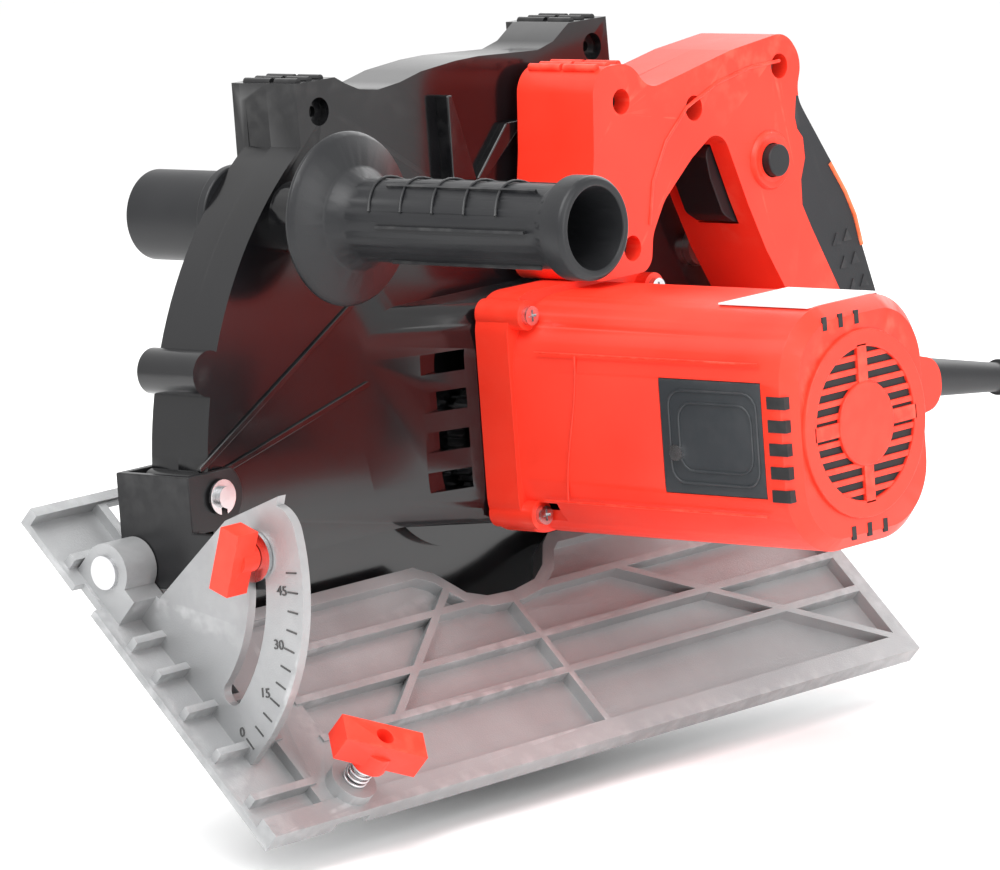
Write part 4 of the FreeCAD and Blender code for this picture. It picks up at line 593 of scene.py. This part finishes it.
def dress_handle():
    rounded("handle_shell_motor", RED, 2.6, 3)
    rounded("handle_shell_blade", RED, 2.6, 3)
    rounded("soft_grip", SOFT, 2.0, 3)
    rounded("trigger", BLACK, 1.2, 3)
    grip_side = y_of(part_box("soft_grip")[1])
    inlay = [(344, grip_side, 105), (352, grip_side, 93), (357, grip_side, 83), (360, grip_side, 71)]
    bead("grip_orange_line", inlay, 0.9, ORANGE, "head")
    arch = [(236.5, 96), (240, 112), (249, 126), (262, 137), (280, 144), (300, 147.5), (318, 148)]
    bead("handle_arch_line", [(x, HANDLE_SIDE, z) for x, z in arch], 0.7, RED, "head")
    for side, low_y, high_y in (("blade", 33.5, 49.2), ("motor", 50.8, 66.5)):
        shape = bmesh.new()
        add_prism(shape, ring_points(215.5, 157.6, 1.6, 12), low_y, high_y)
        repeated("handle_pad_ribs_" + side, shape, RED, "head", 3, step=(-0.0062, 0, 0), sharp=60)
    x, z = LOCK_BUTTON_AXIS
    collar = [(0, 11.6), (1.6, 11.2), (2.4, 10.4), (2.4, 8.6), (1.6, 7.6), (0, 7.4), (0, 11.6)]
    revolve("lock_button_collar", place(x, HANDLE_SIDE - 0.8, z), Vector((0, 1, 0)), collar, RED, "head")


def dress_grip_pattern():
    """Rows of small raised triangles on the soft grip's side."""
    side = y_of(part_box("soft_grip")[1])
    for row, (x, z) in enumerate([(351.5, 76.0), (355.5, 66.5), (360.0, 57.0), (364.5, 47.5)]):
        shape = bmesh.new()
        points = [(x - 2.6, z - 2.2), (x + 2.6, z - 2.2), (x, z + 2.4)]
        add_prism(shape, points, side - 0.5, side + 0.45)
        repeated("grip_triangles_%d" % row, shape, SOFT, "head", 2, step=(0.0066, 0, -0.0008))


def dress_base():
    rounded("base_plate", CAST, 0.7, 2)


def dress_small():
    small = (("bevel_knob", RED, 1.4), ("guide_wing", RED, 1.4), ("front_bracket", BLACK_METAL, 0.6),
             ("depth_lever", BLACK, 0.9), ("dust_port", BLACK, 0.8), ("depth_arm", BLACK_METAL, 0.5),
             ("lock_button", BLACK, 0.8), ("strain_relief", BLACK, 0.5))
    for node, material, edge in small:
        rounded(node, material, edge, 3)


def dress_side_handle():
    rounded("side_handle", BLACK, 0.8, 2)
    low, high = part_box("side_handle")
    start, end = y_of(low), y_of(high)
    x, z = SIDE_HANDLE_AXIS
    for level in (0.24, 0.36, 0.48, 0.60, 0.72):
        y = start + (end - start) * level
        arc = []
        for degrees in range(20, 161, 10):
            turn = math.radians(degrees)
            arc.append((x + SIDE_HANDLE_SKIN * math.cos(turn), y + 2.2 * math.cos(2 * turn),
                        z + SIDE_HANDLE_SKIN * math.sin(turn)))
        bead("side_handle_arc_%d" % (level * 100), arc, 0.55, BLACK, "head")
    rail = bmesh.new()
    add_prism(rail, [(x - 16.4, z - 0.5), (x - 15.0, z - 0.5), (x - 15.0, z + 0.5), (x - 16.4, z + 0.5)],
              start + 36, end - 20)
    repeated("side_handle_rails", rail, BLACK, "head", 6, turn=(0, math.pi / 3, 0), centre=place(x, 0, z))


def dress_quadrant():
    """Degree marks every five degrees on the quadrant's front face, with numbers every fifteen; their
    near-black colour is painted shade standing for the shade inside engraved grooves.
    """
    first = math.radians(MARK_FIRST)
    mark = bmesh.new()
    near, far = MARK_SPAN
    spots = [(near, -0.3), (far, -0.3), (far, 0.3), (near, 0.3)]
    rings = []
    for depth in (QUADRANT_FACE - 0.25, QUADRANT_FACE + 0.3):
        ring = []
        for radius, across in spots:
            y = radius * math.cos(first) - across * math.sin(first)
            z = radius * math.sin(first) + across * math.cos(first)
            ring.append(mark.verts.new(place(depth, y, z)))
        rings.append(ring)
    mark.faces.new(rings[0])
    mark.faces.new(rings[1][::-1])
    for i in range(4):
        j = (i + 1) % 4
        mark.faces.new((rings[0][i], rings[0][j], rings[1][j], rings[1][i]))
    repeated("quadrant_marks", mark, ENGRAVING_SHADE, "base", 11, turn=(math.radians(MARK_STEP), 0, 0),
             centre=place(QUADRANT_FACE, 0, 0))
    for degrees in (0, 15, 30, 45):
        words = bpy.data.curves.new("dial_number", "FONT")
        words.body = str(degrees)
        words.size = 0.005
        words.extrude = 0.00025
        words.align_x = "CENTER"
        words.align_y = "CENTER"
        holder = bpy.data.objects.new("dial_number_text", words)
        bpy.context.scene.collection.objects.link(holder)
        mesh = bpy.data.meshes.new_from_object(holder.evaluated_get(bpy.context.evaluated_depsgraph_get()))
        bpy.data.objects.remove(holder)
        angle = math.radians(MARK_FIRST + degrees)
        at = place(QUADRANT_FACE - 0.1, NUMBER_RADIUS * math.cos(angle), NUMBER_RADIUS * math.sin(angle))
        facing = Matrix(((0, 0, 1), (1, 0, 0), (0, 1, 0))).to_4x4()
        mesh.transform(Matrix.Translation(at) @ facing)
        finished("dial_number_%d" % degrees, mesh, ENGRAVING_SHADE, "base")


dress_guard()
dress_motor()
dress_motor_body()
dress_end_cap()
dress_handle()
dress_grip_pattern()
dress_base()
dress_small()
dress_side_handle()
dress_quadrant()


# ---------------- stage, light and camera ----------------
def stage():
    shape = bmesh.new()
    size = 3.0
    corners = [shape.verts.new((x * size, y * size, 0)) for x, y in ((-1, -1), (1, -1), (1, 1), (-1, 1))]
    shape.faces.new(corners)
    mesh = bpy.data.meshes.new("floor")
    shape.to_mesh(mesh)
    shape.free()
    floor = bpy.data.objects.new("floor", mesh)
    bpy.context.scene.collection.objects.link(floor)
    white = bpy.data.materials.new("pale floor")
    white.use_nodes = True
    shader = white.node_tree.nodes["Principled BSDF"]
    shader.inputs["Base Color"].default_value = (0.97, 0.97, 0.97, 1)
    shader.inputs["Roughness"].default_value = 0.85
    mesh.materials.append(white)


def soft_light(name, at, towards, size, power):
    lamp = bpy.data.lights.new(name, "AREA")
    lamp.shape = "RECTANGLE"
    lamp.size, lamp.size_y = size
    lamp.energy = power
    holder = bpy.data.objects.new(name, lamp)
    bpy.context.scene.collection.objects.link(holder)
    aim = Vector(towards) - Vector(at)
    holder.matrix_world = Matrix.Translation(at) @ aim.to_track_quat("-Z", "Y").to_matrix().to_4x4()


def camera():
    turn, rise, roll = map(math.radians, (132.659, 8.741, -4.196))
    back = Vector((math.sin(turn) * math.cos(rise), -math.cos(turn) * math.cos(rise), math.sin(rise)))
    target = Vector((0.0133, -0.0720, 0.1222))
    right = (-back).cross(Vector((0, 0, 1))).normalized()
    up = right.cross(-back)
    level = right * math.cos(roll) + up * math.sin(roll)
    tall = up * math.cos(roll) - right * math.sin(roll)
    pose = Matrix((level, tall, back)).transposed().to_4x4()
    pose.translation = target + back * 2.6746
    lens = bpy.data.cameras.new("camera")
    lens.lens = 252
    lens.sensor_width = 36
    lens.sensor_fit = "HORIZONTAL"
    lens.clip_start = 0.05
    lens.clip_end = 50
    holder = bpy.data.objects.new("camera", lens)
    bpy.context.scene.collection.objects.link(holder)
    holder.matrix_world = pose
    bpy.context.scene.camera = holder


camera()
stage()
soft_light("key softbox", (0.9, 0.2, 1.5), (0, 0, 0.1), (1.2, 1.2), 28)
soft_light("side softbox", (0.2, 1.6, 0.7), (0, 0, 0.12), (1.0, 1.2), 14)
soft_light("rim softbox", (-1.2, -0.4, 1.0), (0, 0, 0.12), (1.0, 1.0), 12)
world = bpy.data.worlds.new("studio")
bpy.context.scene.world = world
world.use_nodes = True
world.node_tree.nodes["Background"].inputs["Color"].default_value = (1, 1, 1, 1)
world.node_tree.nodes["Background"].inputs["Strength"].default_value = 1.0

bpy.context.scene.view_settings.view_transform = "Standard"
